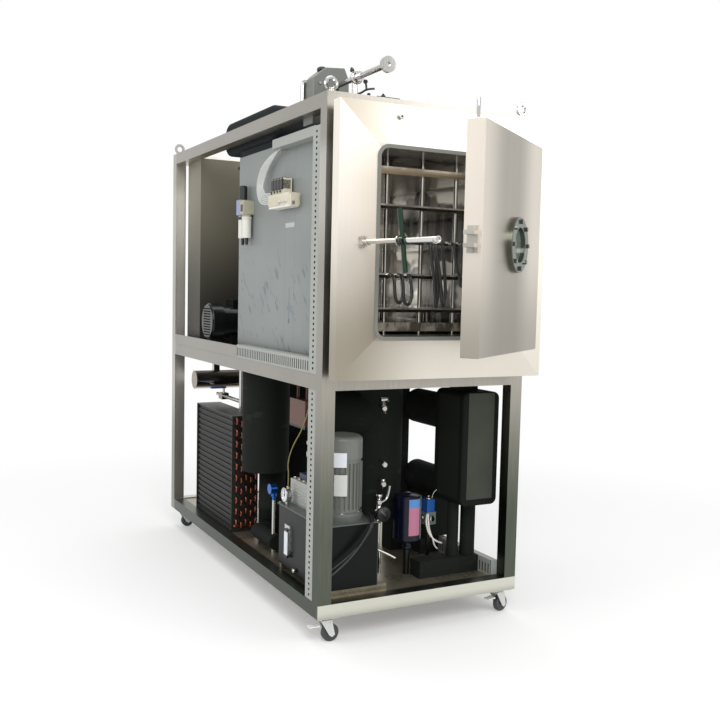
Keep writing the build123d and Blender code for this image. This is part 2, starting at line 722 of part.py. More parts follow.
lead_radius = 4.5
lead_gap = 12.0
motor_x, motor_mid_y = motor_spot
lead_front = tank_front - half_d - 20.0
leads = []
for shift in (0.0, lead_gap):
    side = motor_x + motor_radius + 31.0 - shift
    front = lead_front - shift
    with BuildPart() as lead:
        with BuildLine() as lead_path:
            FilletPolyline(
                (motor_x + 18.0 - shift, motor_mid_y + motor_radius + 21.0, motor_base + motor_body - 80.0),
                (motor_x + 18.0 - shift, motor_mid_y + motor_radius + 21.0, lid_top + 11.0 + shift),
                (side, motor_mid_y + motor_radius + 12.0, lid_top + 11.0 + shift),
                (side, motor_mid_y - 50.0, lid_top + 12.0 + shift / 2),
                (side - 30.0, front, lid_top + 12.0),
                (side - 46.0, front - 2.0, lid_top - 30.0),
                (side - 120.0, front - 4.0, lid_top - 106.0 - shift),
                (tube + 14.0 - half_w, front - 4.0, lid_top - 150.0 - shift),
                radius=16.0,
            )
        with BuildSketch(Plane(origin=lead_path.line @ 0, z_dir=lead_path.line % 0)):
            Circle(lead_radius)
        sweep()
    leads.append(lead.part)

# ---- condenser: finned block, tube sheets, return bends, fan ----
condenser_left = 58.0
condenser_front = 1021.0
condenser_width = 110.0
condenser_length = 505.0
condenser_height = 500.0
foot_height = 14.0
tube_columns = 5
tube_rows = 20
copper_radius = 5.4
tube_sheet = 3.0
condenser_base = pan_top + foot_height
with BuildPart(spot(condenser_left, condenser_front, condenser_base)) as coil:
    with Locations((0, tube_sheet, 0)):
        Box(condenser_width, condenser_length - 2 * tube_sheet, condenser_height, align=LOW)
    with Locations(*[(0, tube_sheet, (i + 0.5) * condenser_height / tube_rows) for i in range(tube_rows)]):
        Box(4.0, condenser_length - 2 * tube_sheet, condenser_height / tube_rows / 2, align=(Align.MIN, Align.MIN, Align.CENTER), mode=Mode.SUBTRACT)
save("condenser_block", coil.part)
flange_out = 12.0
with BuildPart(spot(condenser_left, condenser_front, pan_top)) as coil_frame:
    for y in (0, condenser_length - tube_sheet):
        with Locations((-flange_out / 2, y, 0)):
            Box(condenser_width + flange_out / 2, tube_sheet, condenser_height + foot_height, align=LOW)
    for z in (foot_height - tube_sheet, foot_height + condenser_height):
        with Locations((-flange_out / 2, 0, z)):
            Box(condenser_width + flange_out / 2, condenser_length, tube_sheet, align=LOW)
    with Locations((condenser_width + 84.0, condenser_length / 2, 0)):
        Box(20.0, 60.0, condenser_height / 2 + foot_height - 40.0, align=(Align.CENTER, Align.CENTER, Align.MIN))
    with Locations((condenser_width + 84.0, condenser_length / 2, condenser_height / 2 + foot_height)):
        Cylinder(42.0, 60.0, rotation=(0, 90, 0))
save("condenser_frame", coil_frame.part)
column_pitch = condenser_width / tube_columns
row_pitch = condenser_height / (tube_rows / 2)
with BuildPart() as bends:
    for column in range(tube_columns):
        for row in range(tube_rows // 2 - column % 2):
            x = condenser_left + (column + 0.5) * column_pitch - half_w
            z = condenser_base + (row + 0.5 + 0.5 * (column % 2)) * row_pitch
            bend_plane = Plane(origin=(x, condenser_front - half_d, z + row_pitch / 4), x_dir=(1, 0, 0), z_dir=(0, -1, 0))
            with BuildSketch(bend_plane):
                RegularPolygon(copper_radius, 6)
            revolve(axis=Axis((x, condenser_front - half_d, z), (1, 0, 0)), revolution_arc=180)
save("condenser_bends", bends.part)
fan_radius = 190.0
fan_centre = (condenser_left + condenser_width + 22.0 - half_w, condenser_front + condenser_length / 2 - half_d, condenser_base + condenser_height / 2)
with BuildPart() as condenser_fan:
    with Locations(Location(fan_centre, (0, 90, 0))):
        Cylinder(36.0, 12.0)
        with PolarLocations(fan_radius / 2 + 12.0, 5):
            Box(fan_radius - 26.0, 62.0, 3.0, rotation=(24, 0, 0))
save("condenser_fan", condenser_fan.part)

# ---- foam-covered vessels and pipes ----
ram_vessel_radius = 105.0
ram_vessel_low = 340.0
side_vessel_radius = 100.0
side_vessel = (153.0, 880.0, 445.0)
trap_radius = 115.0
trap = (430.0, 1130.0)
branch_radius = 90.0
branch_left = 195.0  # closed end of the ram vessel's side branch
branch_z = base + 650.0
with BuildPart() as vessels:
    with Locations((0, shelf_mid_y, ram_vessel_low)):
        Cylinder(ram_vessel_radius, mid_top - ram_vessel_low, align=STAND)
    with Locations(Location((0, shelf_mid_y, branch_z), (0, -90, 0))):
        Cylinder(branch_radius, half_w - branch_left, align=STAND)
    with Locations((0, shelf_mid_y, ram_vessel_low + 60.0)):
        Cylinder(ram_radius + rod_clearance, mid_top, align=STAND, mode=Mode.SUBTRACT)
    with Locations((side_vessel[0] - half_w, side_vessel[1] - half_d, side_vessel[2])):
        Cylinder(side_vessel_radius, mid_top - side_vessel[2], align=STAND)
    with Locations((trap[0] - half_w, trap[1] - half_d, pan_top)):
        Cylinder(trap_radius, mid_top - pan_top, align=STAND)
save("foam_vessels", vessels.part)
box_left = 611.0
box_front = 60.0
box_width = 165.0
box_depth = 190.0
box_low = 419.0
box_height = 432.0
with BuildPart(spot(box_left, box_front, box_low)) as exchanger:
    Box(box_width, box_depth, box_height, align=LOW)
    fillet(exchanger.edges().filter_by(Axis.Y), 26.0)
    fillet(exchanger.faces().sort_by(Axis.Y)[0].edges(), 8.0)
    with Locations((box_width / 2 - 20.0, box_depth / 2, box_height)):
        Box(90.0, 60.0, mid_top - box_low - box_height, align=STAND)
save("exchanger_box", exchanger.part)
floor_box_height = 64.0
floor_box = (480.0, 125.0)
floor_box_size = (264.0, 70.0, floor_box_height)
pipe_y = 160.0
riser = {645.0: 22.5, 714.0: 29.0}  # x of each foam pipe under the exchanger, and its radius
cross_pipe = {base + 363.0: 62.0, base + 653.0: 70.0}
cross_length = 250.0
column_spot = (568.0, 500.0)
column_size = (72.0, 80.0)
block_spot = (652.0, 400.0)
block_foot = (94.0, 170.0, 70.0)
block_size = (150.0, 170.0, 230.0)
with BuildPart() as foam_pipes:
    with Locations((floor_box[0] - half_w, floor_box[1] - half_d, pan_top)):
        Box(*floor_box_size, align=LOW)
    for x, r in riser.items():
        with Locations((x - half_w, pipe_y - half_d, pan_top + floor_box_height)):
            Cylinder(r, box_low - pan_top - floor_box_height, align=STAND)
    for z, r in cross_pipe.items():
        with Locations(Location((box_left + 70.0 - half_w, box_front + box_depth - half_d, z), (-90, 0, 0))):
            Cylinder(r, cross_length, align=STAND)
    with Locations((column_spot[0] - half_w, column_spot[1] - half_d, pan_top)):
        Box(*column_size, mid_top - pan_top, align=LOW)
    with BuildPart(spot(*block_spot, pan_top + block_foot[2])) as floor_block:
        Box(*block_size, align=LOW)
        fillet(floor_block.edges().filter_by(Axis.Z), 30.0)
    add(floor_block.part)
    with Locations((block_spot[0] + 4.0 - half_w, block_spot[1] + 10.0 - half_d, pan_top)):
        Box(block_foot[0] - 8.0, block_foot[1] - 20.0, block_foot[2], align=LOW)
save("foam_pipes", foam_pipes.part)

# ---- refrigeration parts standing on the pan ----
compressor = (620.0, 1350.0)
compressor_radius = 112.0
compressor_height = 340.0
drier = (468.0, 206.0)
drier_radius = 53.0
drier_low = 140.0  # above the pan
drier_height = 163.0
drier_stem = 13.0
solenoid = (589.0, 250.0)
solenoid_low = 173.0
solenoid_body = (44.0, 44.0, 50.0)
solenoid_coil = (34.0, 38.0, 48.0)
plate_pack = (120.0, 400.0)
plate_pack_low = base + 591.0
plate_pack_size = (42.0, 146.0, 109.0)
with BuildPart() as cooling:
    with Locations((compressor[0] - half_w, compressor[1] - half_d, pan_top)):
        Cylinder(compressor_radius, compressor_height, align=STAND)
    fillet(cooling.faces().sort_by(Axis.Z)[-1].edges(), 50.0)
    with Locations((drier[0] - half_w, drier[1] - half_d, pan_top)):
        Cylinder(drier_stem, drier_low, align=STAND)
        with Locations((0, 0, drier_low)):
            Cylinder(drier_radius, drier_height, align=STAND)
    with Locations((solenoid[0] - half_w, solenoid[1] - half_d, pan_top)):
        Cylinder(8.0, solenoid_low, align=STAND)
        with Locations((0, 0, solenoid_low)):
            Box(*solenoid_body, align=STAND)
        with Locations((0, 0, solenoid_low + solenoid_body[2])):
            Box(*solenoid_coil, align=STAND)
    with Locations((plate_pack[0] - half_w, plate_pack[1] - half_d, plate_pack_low)):
        Box(*plate_pack_size, align=LOW)
    for y in (30.0, plate_pack_size[1] - 30.0):
        with Locations((plate_pack[0] + plate_pack_size[0] / 2 - half_w, plate_pack[1] + y - half_d, plate_pack_low + plate_pack_size[2])):
            Cylinder(5.0, mid_top - plate_pack_low - plate_pack_size[2], align=STAND)
save("cooling_parts", cooling.part)
with BuildPart() as water:
    with Locations((157.0 - half_w, 1200.0 - half_d, condenser_base + condenser_height + tube_sheet)):
        Cylinder(9.0, mid_top - condenser_base - condenser_height - tube_sheet, align=STAND)
    with Locations(Location((157.0 - half_w, 1200.0 - half_d, 700.0), (-90, 0, 0))):
        Cylinder(9.0, 330.0, align=STAND)
    with Locations((157.0 - half_w, 1440.0 - half_d, 700.0)):
        Box(34.0, 50.0, 30.0)
        Cylinder(6.0, 36.0, align=STAND)
    with Locations(Location((60.0 - half_w, 1600.0 - half_d, 765.0), (0, 90, 0))):
        Cylinder(45.0, 420.0, align=STAND)
    with Locations((170.0 - half_w, 1600.0 - half_d, 765.0)):
        Box(30.0, 30.0, mid_top - 765.0, align=STAND)
save("water_and_vacuum_pipes", water.part)
with BuildPart() as lever:
    with Locations((157.0 - half_w, 1440.0 - half_d, 737.0)):
        Cylinder(12.0, 8.0, align=STAND)
        with Locations((-30.0, 0, 0)):
            Box(70.0, 24.0, 8.0, align=STAND)
save("valve_lever", lever.part)

# ---- vacuum pump and control cabinet on the deck ----
pump_left = 42.0
pump_y = 1356.0
pump_height = 126.0
pump_cover_radius = 86.0
pump_axis_z = deck_top + pump_height
with BuildPart() as vacuum_pump:
    with BuildSketch(Plane(origin=(pump_left + 62.0 - half_w, pump_y - half_d, pump_axis_z), x_dir=(0, 1, 0), z_dir=(1, 0, 0))):
        Circle(pump_cover_radius - 8.0)
    extrude(amount=220.0)
    with Locations((pump_left + 282.0 - half_w, pump_y - 95.0 - half_d, deck_top)):
        Box(260.0, 190.0, 230.0, align=LOW)
    with Locations((pump_left + 100.0 - half_w, pump_y - 70.0 - half_d, deck_top)):
        Box(120.0, 140.0, pump_height - 60.0, align=LOW)
    with Locations((pump_left + 110.0 - half_w, pump_y - 50.0 - half_d, pump_axis_z + 40.0)):
        Box(90.0, 100.0, 62.0, align=LOW)
cover_length = 62.0
with BuildPart() as pump_cover:
    with BuildSketch(Plane(origin=(pump_left - half_w, pump_y - half_d, pump_axis_z), x_dir=(0, 1, 0), z_dir=(1, 0, 0))):
        Circle(pump_cover_radius)
    extrude(amount=cover_length)
    chamfer(pump_cover.faces().sort_by(Axis.X)[0].edges(), 8.0)
    with BuildSketch(Plane(origin=(pump_left + 3.0 - half_w, pump_y - half_d, pump_axis_z), x_dir=(0, 1, 0), z_dir=(1, 0, 0))):
        Circle(pump_cover_radius - 3.0)
    extrude(amount=cover_length - 3.0, mode=Mode.SUBTRACT)
    with BuildSketch(Plane(origin=(pump_left - half_w, pump_y - half_d, pump_axis_z), x_dir=(0, 1, 0), z_dir=(1, 0, 0))) as slots:
        with Locations(*[(0, h) for h in range(-60, 61, 12)]):
            Rectangle(100.0, 5.0)
    extrude(amount=4.0, mode=Mode.SUBTRACT)
with BuildPart() as pump_set:
    add(vacuum_pump.part)
    add(pump_cover.part)
save("vacuum_pump", pump_set.part)
with BuildPart() as pump_fan:
    with Locations(Location((pump_left + 32.0 - half_w, pump_y - half_d, pump_axis_z), (0, 90, 0))):
        Cylinder(22.0, 26.0)
        with PolarLocations(38.0, 6):
            Box(52.0, 3.0, 22.0)
save("pump_fan", pump_fan.part)

cabinet_left = 50.0
cabinet_front = 1490.0
cabinet_depth = 209.0
cabinet_height = 893.0
cover_depth = 85.0
with BuildPart() as cabinet:
    with Locations((cabinet_left - half_w, cabinet_front - half_d, deck_top)):
        Box(frame_width - 2 * cabinet_left - 20.0, cover_depth - 2.0, cabinet_height, align=LOW)
    with Locations((cabinet_left + 3.0 - half_w, cabinet_front + cover_depth - half_d, deck_top)):
        Box(frame_width - 2 * cabinet_left - 26.0, cabinet_depth - cover_depth, cabinet_height, align=LOW)
    with Locations((cabinet_left + 20.0 - half_w, cabinet_front + cover_depth - 2.0 - half_d, deck_top)):
        Box(frame_width - 2 * cabinet_left - 60.0, 2.0, cabinet_height - 20.0, align=LOW)
save("control_cabinet", cabinet.part)

# ---- pneumatics on the left cladding ----
wall_x = half_w - jacket_half - cladding
air_y = 815.0
air_top = 1586.0
with BuildPart() as air_unit:
    with Locations((wall_x - 44.0 - half_w, air_y - half_d, air_top - 64.0)):
        Box(44.0, 43.0, 56.0, align=LOW)
        with Locations((0, 45.0, 0)):
            Box(44.0, 43.0, 62.0, align=LOW)
        with Locations((10.0, 43.0, 14.0)):
            Box(24.0, 2.0, 30.0, align=LOW)
    for y in (air_y + 21.5, air_y + 66.5):
        with Locations((wall_x - 22.0 - half_w, y - half_d, air_top - 159.0)):
            Cylinder(19.0, 95.0, align=STAND)
        with Locations((wall_x - 22.0 - half_w, y - half_d, air_top - 177.0)):
            Cylinder(7.0, 18.0, align=STAND)
    with Locations(Location((wall_x - 22.0 - half_w, air_y + 88.0 - half_d, air_top - 34.0), (-90, 0, 0))):
        Cylinder(11.0, 20.0, align=STAND)
save("air_unit", air_unit.part)
with BuildPart() as knob:
    with Locations((wall_x - 22.0 - half_w, air_y + 66.5 - half_d, air_top - 2.0)):
        Cylinder(17.0, 58.0, align=STAND)
    chamfer(knob.faces().sort_by(Axis.Z)[-1].edges(), 3.0)
save("regulator_knob", knob.part)
valve_y = 345.0
valve_z = 1527.0
with BuildPart() as manifold:
    with Locations((wall_x - 46.0 - half_w, valve_y - half_d, valve_z)):
        Box(46.0, 190.0, 46.0, align=LOW)
    for i in range(4):
        with Locations((wall_x - 40.0 - half_w, valve_y + 64.0 + i * 28.0 - half_d, valve_z + 46.0)):
            Box(34.0, 22.0, 58.0, align=LOW)
save("valve_manifold", manifold.part)

# ---- slotted wire ducts ----
slot_pitch = 19.0
slot_width = 8.0


def duct_slots(plane, length, height):
    with BuildSketch(plane) as row:
        with GridLocations(slot_pitch, height, int(length // slot_pitch), 1):
            Rectangle(slot_width, height)
    return row.sketch


right_duct_x = half_w - tube - 32.0
duct_z = {"upper": (deck_top, 835.0), "lower": (rail_low, mid_low - rail_low)}
with BuildPart() as ducts:
    for low, length in duct_z.values():
        with Locations((duct_left - half_w, duct_front - half_d, low)):
            Box(duct_size, duct_depth, length, align=LOW)
        face = Plane(origin=(duct_left - half_w, duct_front + duct_depth / 2 - half_d, low + length / 2), x_dir=(0, 0, 1), z_dir=(-1, 0, 0))
        extrude(duct_slots(face, length, 12.0), amount=-4.0, mode=Mode.SUBTRACT)
    duct_run = deck_duct_end - duct_front - duct_depth - 4.0
    with Locations((2.0 - half_w, duct_front + duct_depth + 2.0 - half_d, deck_top)):
        Box(duct_size, duct_run, 52.0, align=LOW)
    face = Plane(origin=(2.0 - half_w, duct_front + duct_depth + 2.0 + duct_run / 2 - half_d, deck_top + 24.0), x_dir=(0, 1, 0), z_dir=(-1, 0, 0))
    extrude(duct_slots(face, duct_run, 34.0), amount=-4.0, mode=Mode.SUBTRACT)
    with Locations((wall_x - 40.0 - half_w, duct_front + duct_depth + 20.0 - half_d, 1747.0)):
        Box(40.0, 392.0, 34.0, align=LOW)
    with Locations((right_duct_x, tube - half_d, pan_top)):
        Box(32.0, 480.0, 60.0, align=LOW)
    face = Plane(origin=(right_duct_x, tube + 240.0 - half_d, pan_top + 26.0), x_dir=(0, 1, 0), z_dir=(-1, 0, 0))
    extrude(duct_slots(face, 480.0, 36.0), amount=-4.0, mode=Mode.SUBTRACT)
save("wire_ducts", ducts.part)

# ---- sanitary piping and actuator on the roof ----
pipe_x = 112.0
pipe_z = top + 55.0
pipe_radius = 9.5
pipe_bore = 7.0
pipe_end = -205.0
pipe_back = 175.0
ferrule_radius = 25.25
with BuildPart() as piping:
    for r, mode in ((pipe_radius, Mode.ADD), (pipe_bore, Mode.SUBTRACT)):
        with BuildLine() as pipe_path:
            FilletPolyline(
                (pipe_x - half_w, pipe_end - half_d, pipe_z),
                (pipe_x - half_w, pipe_back - half_d, pipe_z),
                (pipe_x - half_w, pipe_back - half_d, jacket_top),
                radius=28.0,
            )
        with BuildSketch(Plane(origin=pipe_path.line @ 0, z_dir=pipe_path.line % 0)) as ring:
            Circle(r)
        if mode == Mode.ADD:
            sweep(ring.sketch, path=pipe_path.line)
            with BuildSketch(upright(pipe_end + 12.0 - half_d, pipe_x - half_w, pipe_z)) as disc:
                Circle(ferrule_radius)
            extrude(disc.sketch, amount=12.0)
            with BuildSketch(upright(4.0 - half_d, pipe_x - half_w, pipe_z)) as joint:
                Circle(17.0)
            extrude(joint.sketch, amount=16.0)
            with Locations((pipe_x - half_w, tube / 2 - half_d, top)):
                Cylinder(pipe_radius, pipe_z - top, align=STAND)
        else:
            sweep(ring.sketch, path=pipe_path.line, mode=Mode.SUBTRACT)
save("roof_piping", piping.part)
with BuildPart(spot(80.0, 300.0, jacket_top)) as actuator:
    with BuildSketch(Plane(origin=(80.0 - half_w, 300.0 - half_d, jacket_top), x_dir=(1, 0, 0), z_dir=(0, -1, 0))) as side_view:
        with BuildLine():
            Polyline((0, 0), (0, 88), (28, 118), (118, 124), (140, 96), (148, 60), (148, 0), close=True)
        make_face()
    extrude(side_view.sketch, amount=-80.0)
    with Locations((52.0, 40.0, 118.0)):
        Cylinder(15.0, 24.0, align=STAND)
    with Locations(Location((-14.0, 24.0, 0), (0, 0, 0))):
        Cylinder(5.0, 60.0, align=STAND)
    with Locations(Location((-14.0, 24.0, 60.0), (0, 90, 0))):
        Cylinder(5.0, 16.0, align=STAND)
save("roof_actuator", actuator.part)
with BuildPart() as motor_leads:
    for lead_part in leads:
        add(lead_part)
save("motor_leads", motor_leads.part)
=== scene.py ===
import bpy
import bmesh
import math
from mathutils import Matrix, Vector


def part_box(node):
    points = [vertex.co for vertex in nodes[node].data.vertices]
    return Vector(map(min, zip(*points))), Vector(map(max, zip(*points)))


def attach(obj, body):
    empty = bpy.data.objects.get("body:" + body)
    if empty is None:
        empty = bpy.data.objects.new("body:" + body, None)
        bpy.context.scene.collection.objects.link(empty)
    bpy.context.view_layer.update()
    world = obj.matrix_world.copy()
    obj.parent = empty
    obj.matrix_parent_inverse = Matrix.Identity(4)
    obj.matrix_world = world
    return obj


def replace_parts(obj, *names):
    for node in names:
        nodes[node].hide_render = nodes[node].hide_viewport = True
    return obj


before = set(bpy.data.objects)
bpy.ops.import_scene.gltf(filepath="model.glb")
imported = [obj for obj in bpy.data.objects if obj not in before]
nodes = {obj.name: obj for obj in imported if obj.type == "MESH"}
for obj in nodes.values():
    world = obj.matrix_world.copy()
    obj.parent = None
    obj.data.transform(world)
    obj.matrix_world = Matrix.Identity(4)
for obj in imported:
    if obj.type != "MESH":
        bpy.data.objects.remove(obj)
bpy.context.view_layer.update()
print("frame loaded:", len(nodes), "nodes")

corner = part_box("frame_posts")[0]  # lowest corner of the posts: left, front, underside
mm = 0.001


def at(x, y, z):
    # x from the frame's left, y from its front and z from its underside, in mm
    return Vector((corner.x + x * mm, corner.y + y * mm, corner.z + z * mm))


def show(thing):
    bpy.context.scene.collection.objects.link(thing)


view = {
    "place": (-1.7123, -3.6374, 1.2257),
    "right": (0.88649, -0.46222, 0.02209),
    "up": (0.01606, 0.07843, 0.99679),
    "forward": (0.46247, 0.88329, -0.07695),
    "lens": 45.69,
}


def makeCamera():
    data = bpy.data.cameras.new("viewCamera")
    data.lens = view["lens"]
    data.sensor_width = 36
    data.clip_end = 60
    camera = bpy.data.objects.new("viewCamera", data)
    show(camera)
    right, up, forward = (Vector(view[k]) for k in ("right", "up", "forward"))
    turn = Matrix((right, up, -forward)).transposed()
    camera.matrix_world = Matrix.Translation(view["place"]) @ turn.to_4x4()
    bpy.context.scene.camera = camera


makeCamera()


class Wire:
    # a shader socket that can be added, multiplied and so on

    def __init__(self, tree, socket=None):
        self.tree = tree
        self.socket = socket

    def node(self, kind, settings=None, out=0, **values):
        # underscores in a name stand for spaces, and i with a number picks a socket by place
        made = self.tree.nodes.new(kind)
        for key, value in (settings or {}).items():
            setattr(made, key, value)
        for key, value in values.items():
            name = key.replace("_", " ")
            byPlace = name[0] == "i" and name[1:].isdigit()
            socket = made.inputs[int(name[1:]) if byPlace else name]
            self.put(socket, value)
        return Wire(self.tree, made.outputs[out])

    def put(self, socket, value):
        # a link, a colour or a plain value
        if isinstance(value, Wire):
            self.tree.links.new(value.socket, socket)
        elif isinstance(value, tuple) and socket.type == "RGBA":
            socket.default_value = (*value, 1)
        else:
            socket.default_value = value

    def sum(self, operation, first, second=0.0):
        return self.node("ShaderNodeMath", {"operation": operation}, i0=first, i1=second)

    def clamp(self):
        return self.sum("MAXIMUM", self.sum("MINIMUM", self, 1.0), 0.0)

    def bend(self, low, high):
        # 0 below low, 1 above high, smooth between
        return self.node("ShaderNodeMapRange", {"interpolation_type": "SMOOTHSTEP"},
                         Value=self, From_Min=low, From_Max=high)

    def mix(self, first, second):
        # self is the share of second
        return self.node("ShaderNodeMix", {"data_type": "RGBA"}, out=2, Factor=self, i6=first, i7=second)

    def part(self, axis):
        return self.node("ShaderNodeSeparateXYZ", out="XYZ".index(axis), Vector=self)

    def noise(self, scale, stretch=(1, 1, 1), detail=2.0, rough=0.5):
        spread = self.node("ShaderNodeMapping", {"vector_type": "POINT"}, Vector=self, Scale=stretch)
        return self.node("ShaderNodeTexNoise", Vector=spread, Scale=scale, Detail=detail, Roughness=rough)

    def nearest(self, *others):
        # the smallest of several distances
        least = others[-1]
        for other in reversed(others[:-1]):
            least = self.sum("MINIMUM", other, least)
        return least


for word, operation in (("add", "ADD"), ("sub", "SUBTRACT"), ("mul", "MULTIPLY"), ("truediv", "DIVIDE")):
    # each operator, and its reflected form for a number on the left, adds one Math node
    setattr(Wire, f"__{word}__", lambda wire, other, kind=operation: wire.sum(kind, wire, other))
    setattr(Wire, f"__r{word}__", lambda wire, other, kind=operation: wire.sum(kind, other, wire))


def linear(text):
    # a screen colour as six hex digits, in the renderer's own scale
    shares = [int(text[i:i + 2], 16) / 255 for i in (0, 2, 4)]
    return tuple(c / 12.92 if c <= 0.04045 else ((c + 0.055) / 1.055) ** 2.4 for c in shares)


lamps = {
    "keyLamp": {"place": (-1.5, -4.6, 3.7), "aim": (0, -0.9, 1.3), "size": (2.2, 2.2), "power": 118},
    "fillLamp": {"place": (2.8, -4.2, 2.6), "aim": (0.1, -0.9, 1.2), "size": (2.0, 2.0), "power": 30},
    "sideLamp": {"place": (-4.4, -0.6, 3.0), "aim": (-0.4, 0.0, 1.2), "size": (2.2, 2.2), "power": 45},
    "topLamp": {"place": (0.0, 0.4, 4.6), "aim": (0, 0, 0), "size": (3.2, 3.2), "power": 45},
    "chamberLamp": {"place": at(415, 752, 1300), "aim": at(415, 878, 1300), "size": (0.44, 0.5), "power": 3.4},
}


def lamp(name, place, aim, size, power):
    data = bpy.data.lights.new(name, "AREA")
    data.shape = "RECTANGLE"
    data.size, data.size_y = size
    data.energy = power
    thing = bpy.data.objects.new(name, data)
    thing.location = place
    thing.rotation_euler = (Vector(aim) - Vector(place)).to_track_quat("-Z", "Y").to_euler()
    thing.visible_camera = False
    show(thing)


def seenDirectly(tree):
    # 1 for rays that show a surface to the camera, straight, in a reflection or through glass
    path = tree.nodes.new("ShaderNodeLightPath").outputs
    kinds = ("Camera", "Glossy", "Transmission")
    straight, glossy, through = (Wire(tree, path[f"Is {kind} Ray"]) for kind in kinds)
    return (straight + glossy + through).clamp()


studio = {
    "white": (1.0, 1.0, 1.0),
    "worldStrength": 0.7,
    "floorSize": 40.0,
    "floorTone": 0.95,
    "floorGlow": 0.22,
    "nearRadius": 1.5,
    "farRadius": 3.2,
}


def makeStudio():
    scene = bpy.context.scene
    scene.view_settings.view_transform = "Standard"
    world = bpy.data.worlds.new("studio")
    scene.world = world
    world.use_nodes = True
    tree = world.node_tree
    tree.nodes.clear()
    strength = studio["worldStrength"] + seenDirectly(tree) * (1 - studio["worldStrength"])
    glow = Wire(tree).node("ShaderNodeBackground", Color=studio["white"], Strength=strength)
    output = tree.nodes.new("ShaderNodeOutputWorld")
    tree.links.new(glow.socket, output.inputs["Surface"])

    floor = bpy.data.meshes.new("floor")
    half = studio["floorSize"] / 2
    corners = [(-half, -half, 0), (half, -half, 0), (half, half, 0), (-half, half, 0)]
    floor.from_pydata(corners, [], [(0, 1, 2, 3)])
    thing = bpy.data.objects.new("floor", floor)
    show(thing)
    paint = bpy.data.materials.new("floorPaint")
    paint.use_nodes = True
    tree = paint.node_tree
    tree.nodes.clear()
    f = Wire(tree)
    place = f.node("ShaderNodeTexCoord", out=3)
    away = f.node("ShaderNodeVectorMath", {"operation": "LENGTH"}, out=1, i0=place)
    fade = away.bend(studio["nearRadius"], studio["farRadius"])
    matt = f.node("ShaderNodeBsdfDiffuse", Color=(studio["floorTone"],) * 3)
    white = f.node("ShaderNodeEmission", Color=studio["white"], Strength=1.0)
    share = (fade * (1 - studio["floorGlow"]) + studio["floorGlow"]) * seenDirectly(tree)
    both = f.node("ShaderNodeMixShader", i0=share, i1=matt, i2=white)
    output = tree.nodes.new("ShaderNodeOutputMaterial")
    tree.links.new(both.socket, output.inputs["Surface"])
    floor.materials.append(paint)

    for name, values in lamps.items():
        lamp(name, **values)


makeStudio()


def finish(name):
    # a new material, a wire with its object coordinates, and a function that fills the surface
    paint = bpy.data.materials.new(name)
    paint.use_nodes = True
    tree = paint.node_tree
    surface = tree.nodes["Principled BSDF"]
    place = Wire(tree).node("ShaderNodeTexCoord", out=3)

    def fill(bump=None, depth=0.0005, push=0.3, **values):
        if bump is not None:
            values["Normal"] = place.node("ShaderNodeBump", Strength=push, Distance=depth, Height=bump)
        for key, value in values.items():
            place.put(surface.inputs[key.replace("_", " ")], value)

    finishes[name] = paint
    return place, fill


finishes = {}


free = (None, None, None)


def zone(place, low, high):
    # 1 between two corners given in the frame's millimetres; None leaves that side open
    mask = None
    for axis, start, a, b in zip("XYZ", corner, low, high):
        along = place.part(axis)
        for edge, keep in ((a, "GREATER_THAN"), (b, "LESS_THAN")):
            if edge is not None:
                test = place.sum(keep, along, start + edge * mm)
                mask = test if mask is None else mask * test
    return mask


def leftward(place):
    # 1 where a surface faces the left side of the machine
    facing = place.node("ShaderNodeTexCoord", out=1)
    return (facing.part("X") * -1.0).bend(0.4, 0.9)


def rise(place, low, high):
    # 0 below one height of the frame and 1 above the other, in mm
    return place.part("Z").bend(corner.z + low * mm, corner.z + high * mm)


grainOfSteel = {"stretch": (160.0, 160.0, 2.0), "scale": 3.0, "lineShare": 0.45, "cloudShare": 0.75, "less": 0.1}


def brushed(name, light, dark, metal=1.0, rough=(0.26, 0.42), cloud=2.2, shade=None):
    # fine upright lines, broad clouds and, where given, painted light and shade from the shade function
    place, fill = finish(name)
    g = grainOfSteel
    lines = place.noise(g["scale"], g["stretch"], detail=3, rough=0.6)
    clouds = place.noise(cloud, detail=3, rough=0.55)
    share = (lines * g["lineShare"] + clouds * g["cloudShare"] - g["less"]).clamp()
    colour = share.mix(linear(dark), linear(light))
    if shade:
        colour = shade(place, colour, lines)
    fill(Base_Color=colour, Metallic=metal, Roughness=rough[0] + lines * (rough[1] - rough[0]),
         bump=lines, depth=0.0002, push=0.25)


def plain(name, colour, rough=0.5, metal=0.0, grain=0.15, size=60.0, coat=0.0, spec=0.5, patches=()):
    # paint, rubber or moulded plastic with a light grain; patches are (low, high, colour) areas
    place, fill = finish(name)
    small = place.noise(size, detail=2)
    broad = place.noise(5.0, detail=3)
    share = (small * 0.4 + broad * 0.6).clamp()

    def grained(text):
        full = linear(text)
        return share.mix(tuple(c * (1 - grain) for c in full), full)

    tone = grained(colour)
    for low, high, other in patches:
        tone = zone(place, low, high).mix(tone, grained(other))
    fill(Base_Color=tone, Metallic=metal, Roughness=(rough - 0.06 + broad * 0.12).clamp(),
         Coat_Weight=coat, Specular_IOR_Level=spec, bump=small, depth=0.0003, push=0.2)


# painted light in the steel tones: the posts' painted highlight, painted reflections and painted shade, the
# plate's lit and shaded margins, and the door's painted reflection band and low painted shade
steel = {
    "postLowReflection": "3b4537", "postHighlight": "fbf7ef", "postSideShade": "86857f", "postSideLowShade": "333b32",
    "railFrontReflection": "d8d8cb", "postRearHighlight": "f4f0e8",
    "plateTop": "fbf8f1", "plateTopLeft": "cdc4b4", "plateLow": "a59e8e", "plateLowRight": "e8e2d6",
    "plateLeft": "fbf4e9", "plateLeftLow": "a49d8e", "plateLines": "8d867a", "plateMarks": "cfc8bb",
    "doorSideReflection": "ded6ca", "doorReflectionBand": "848076", "doorLowShade": "857f74",
}
steel = {name: linear(text) for name, text in steel.items()}
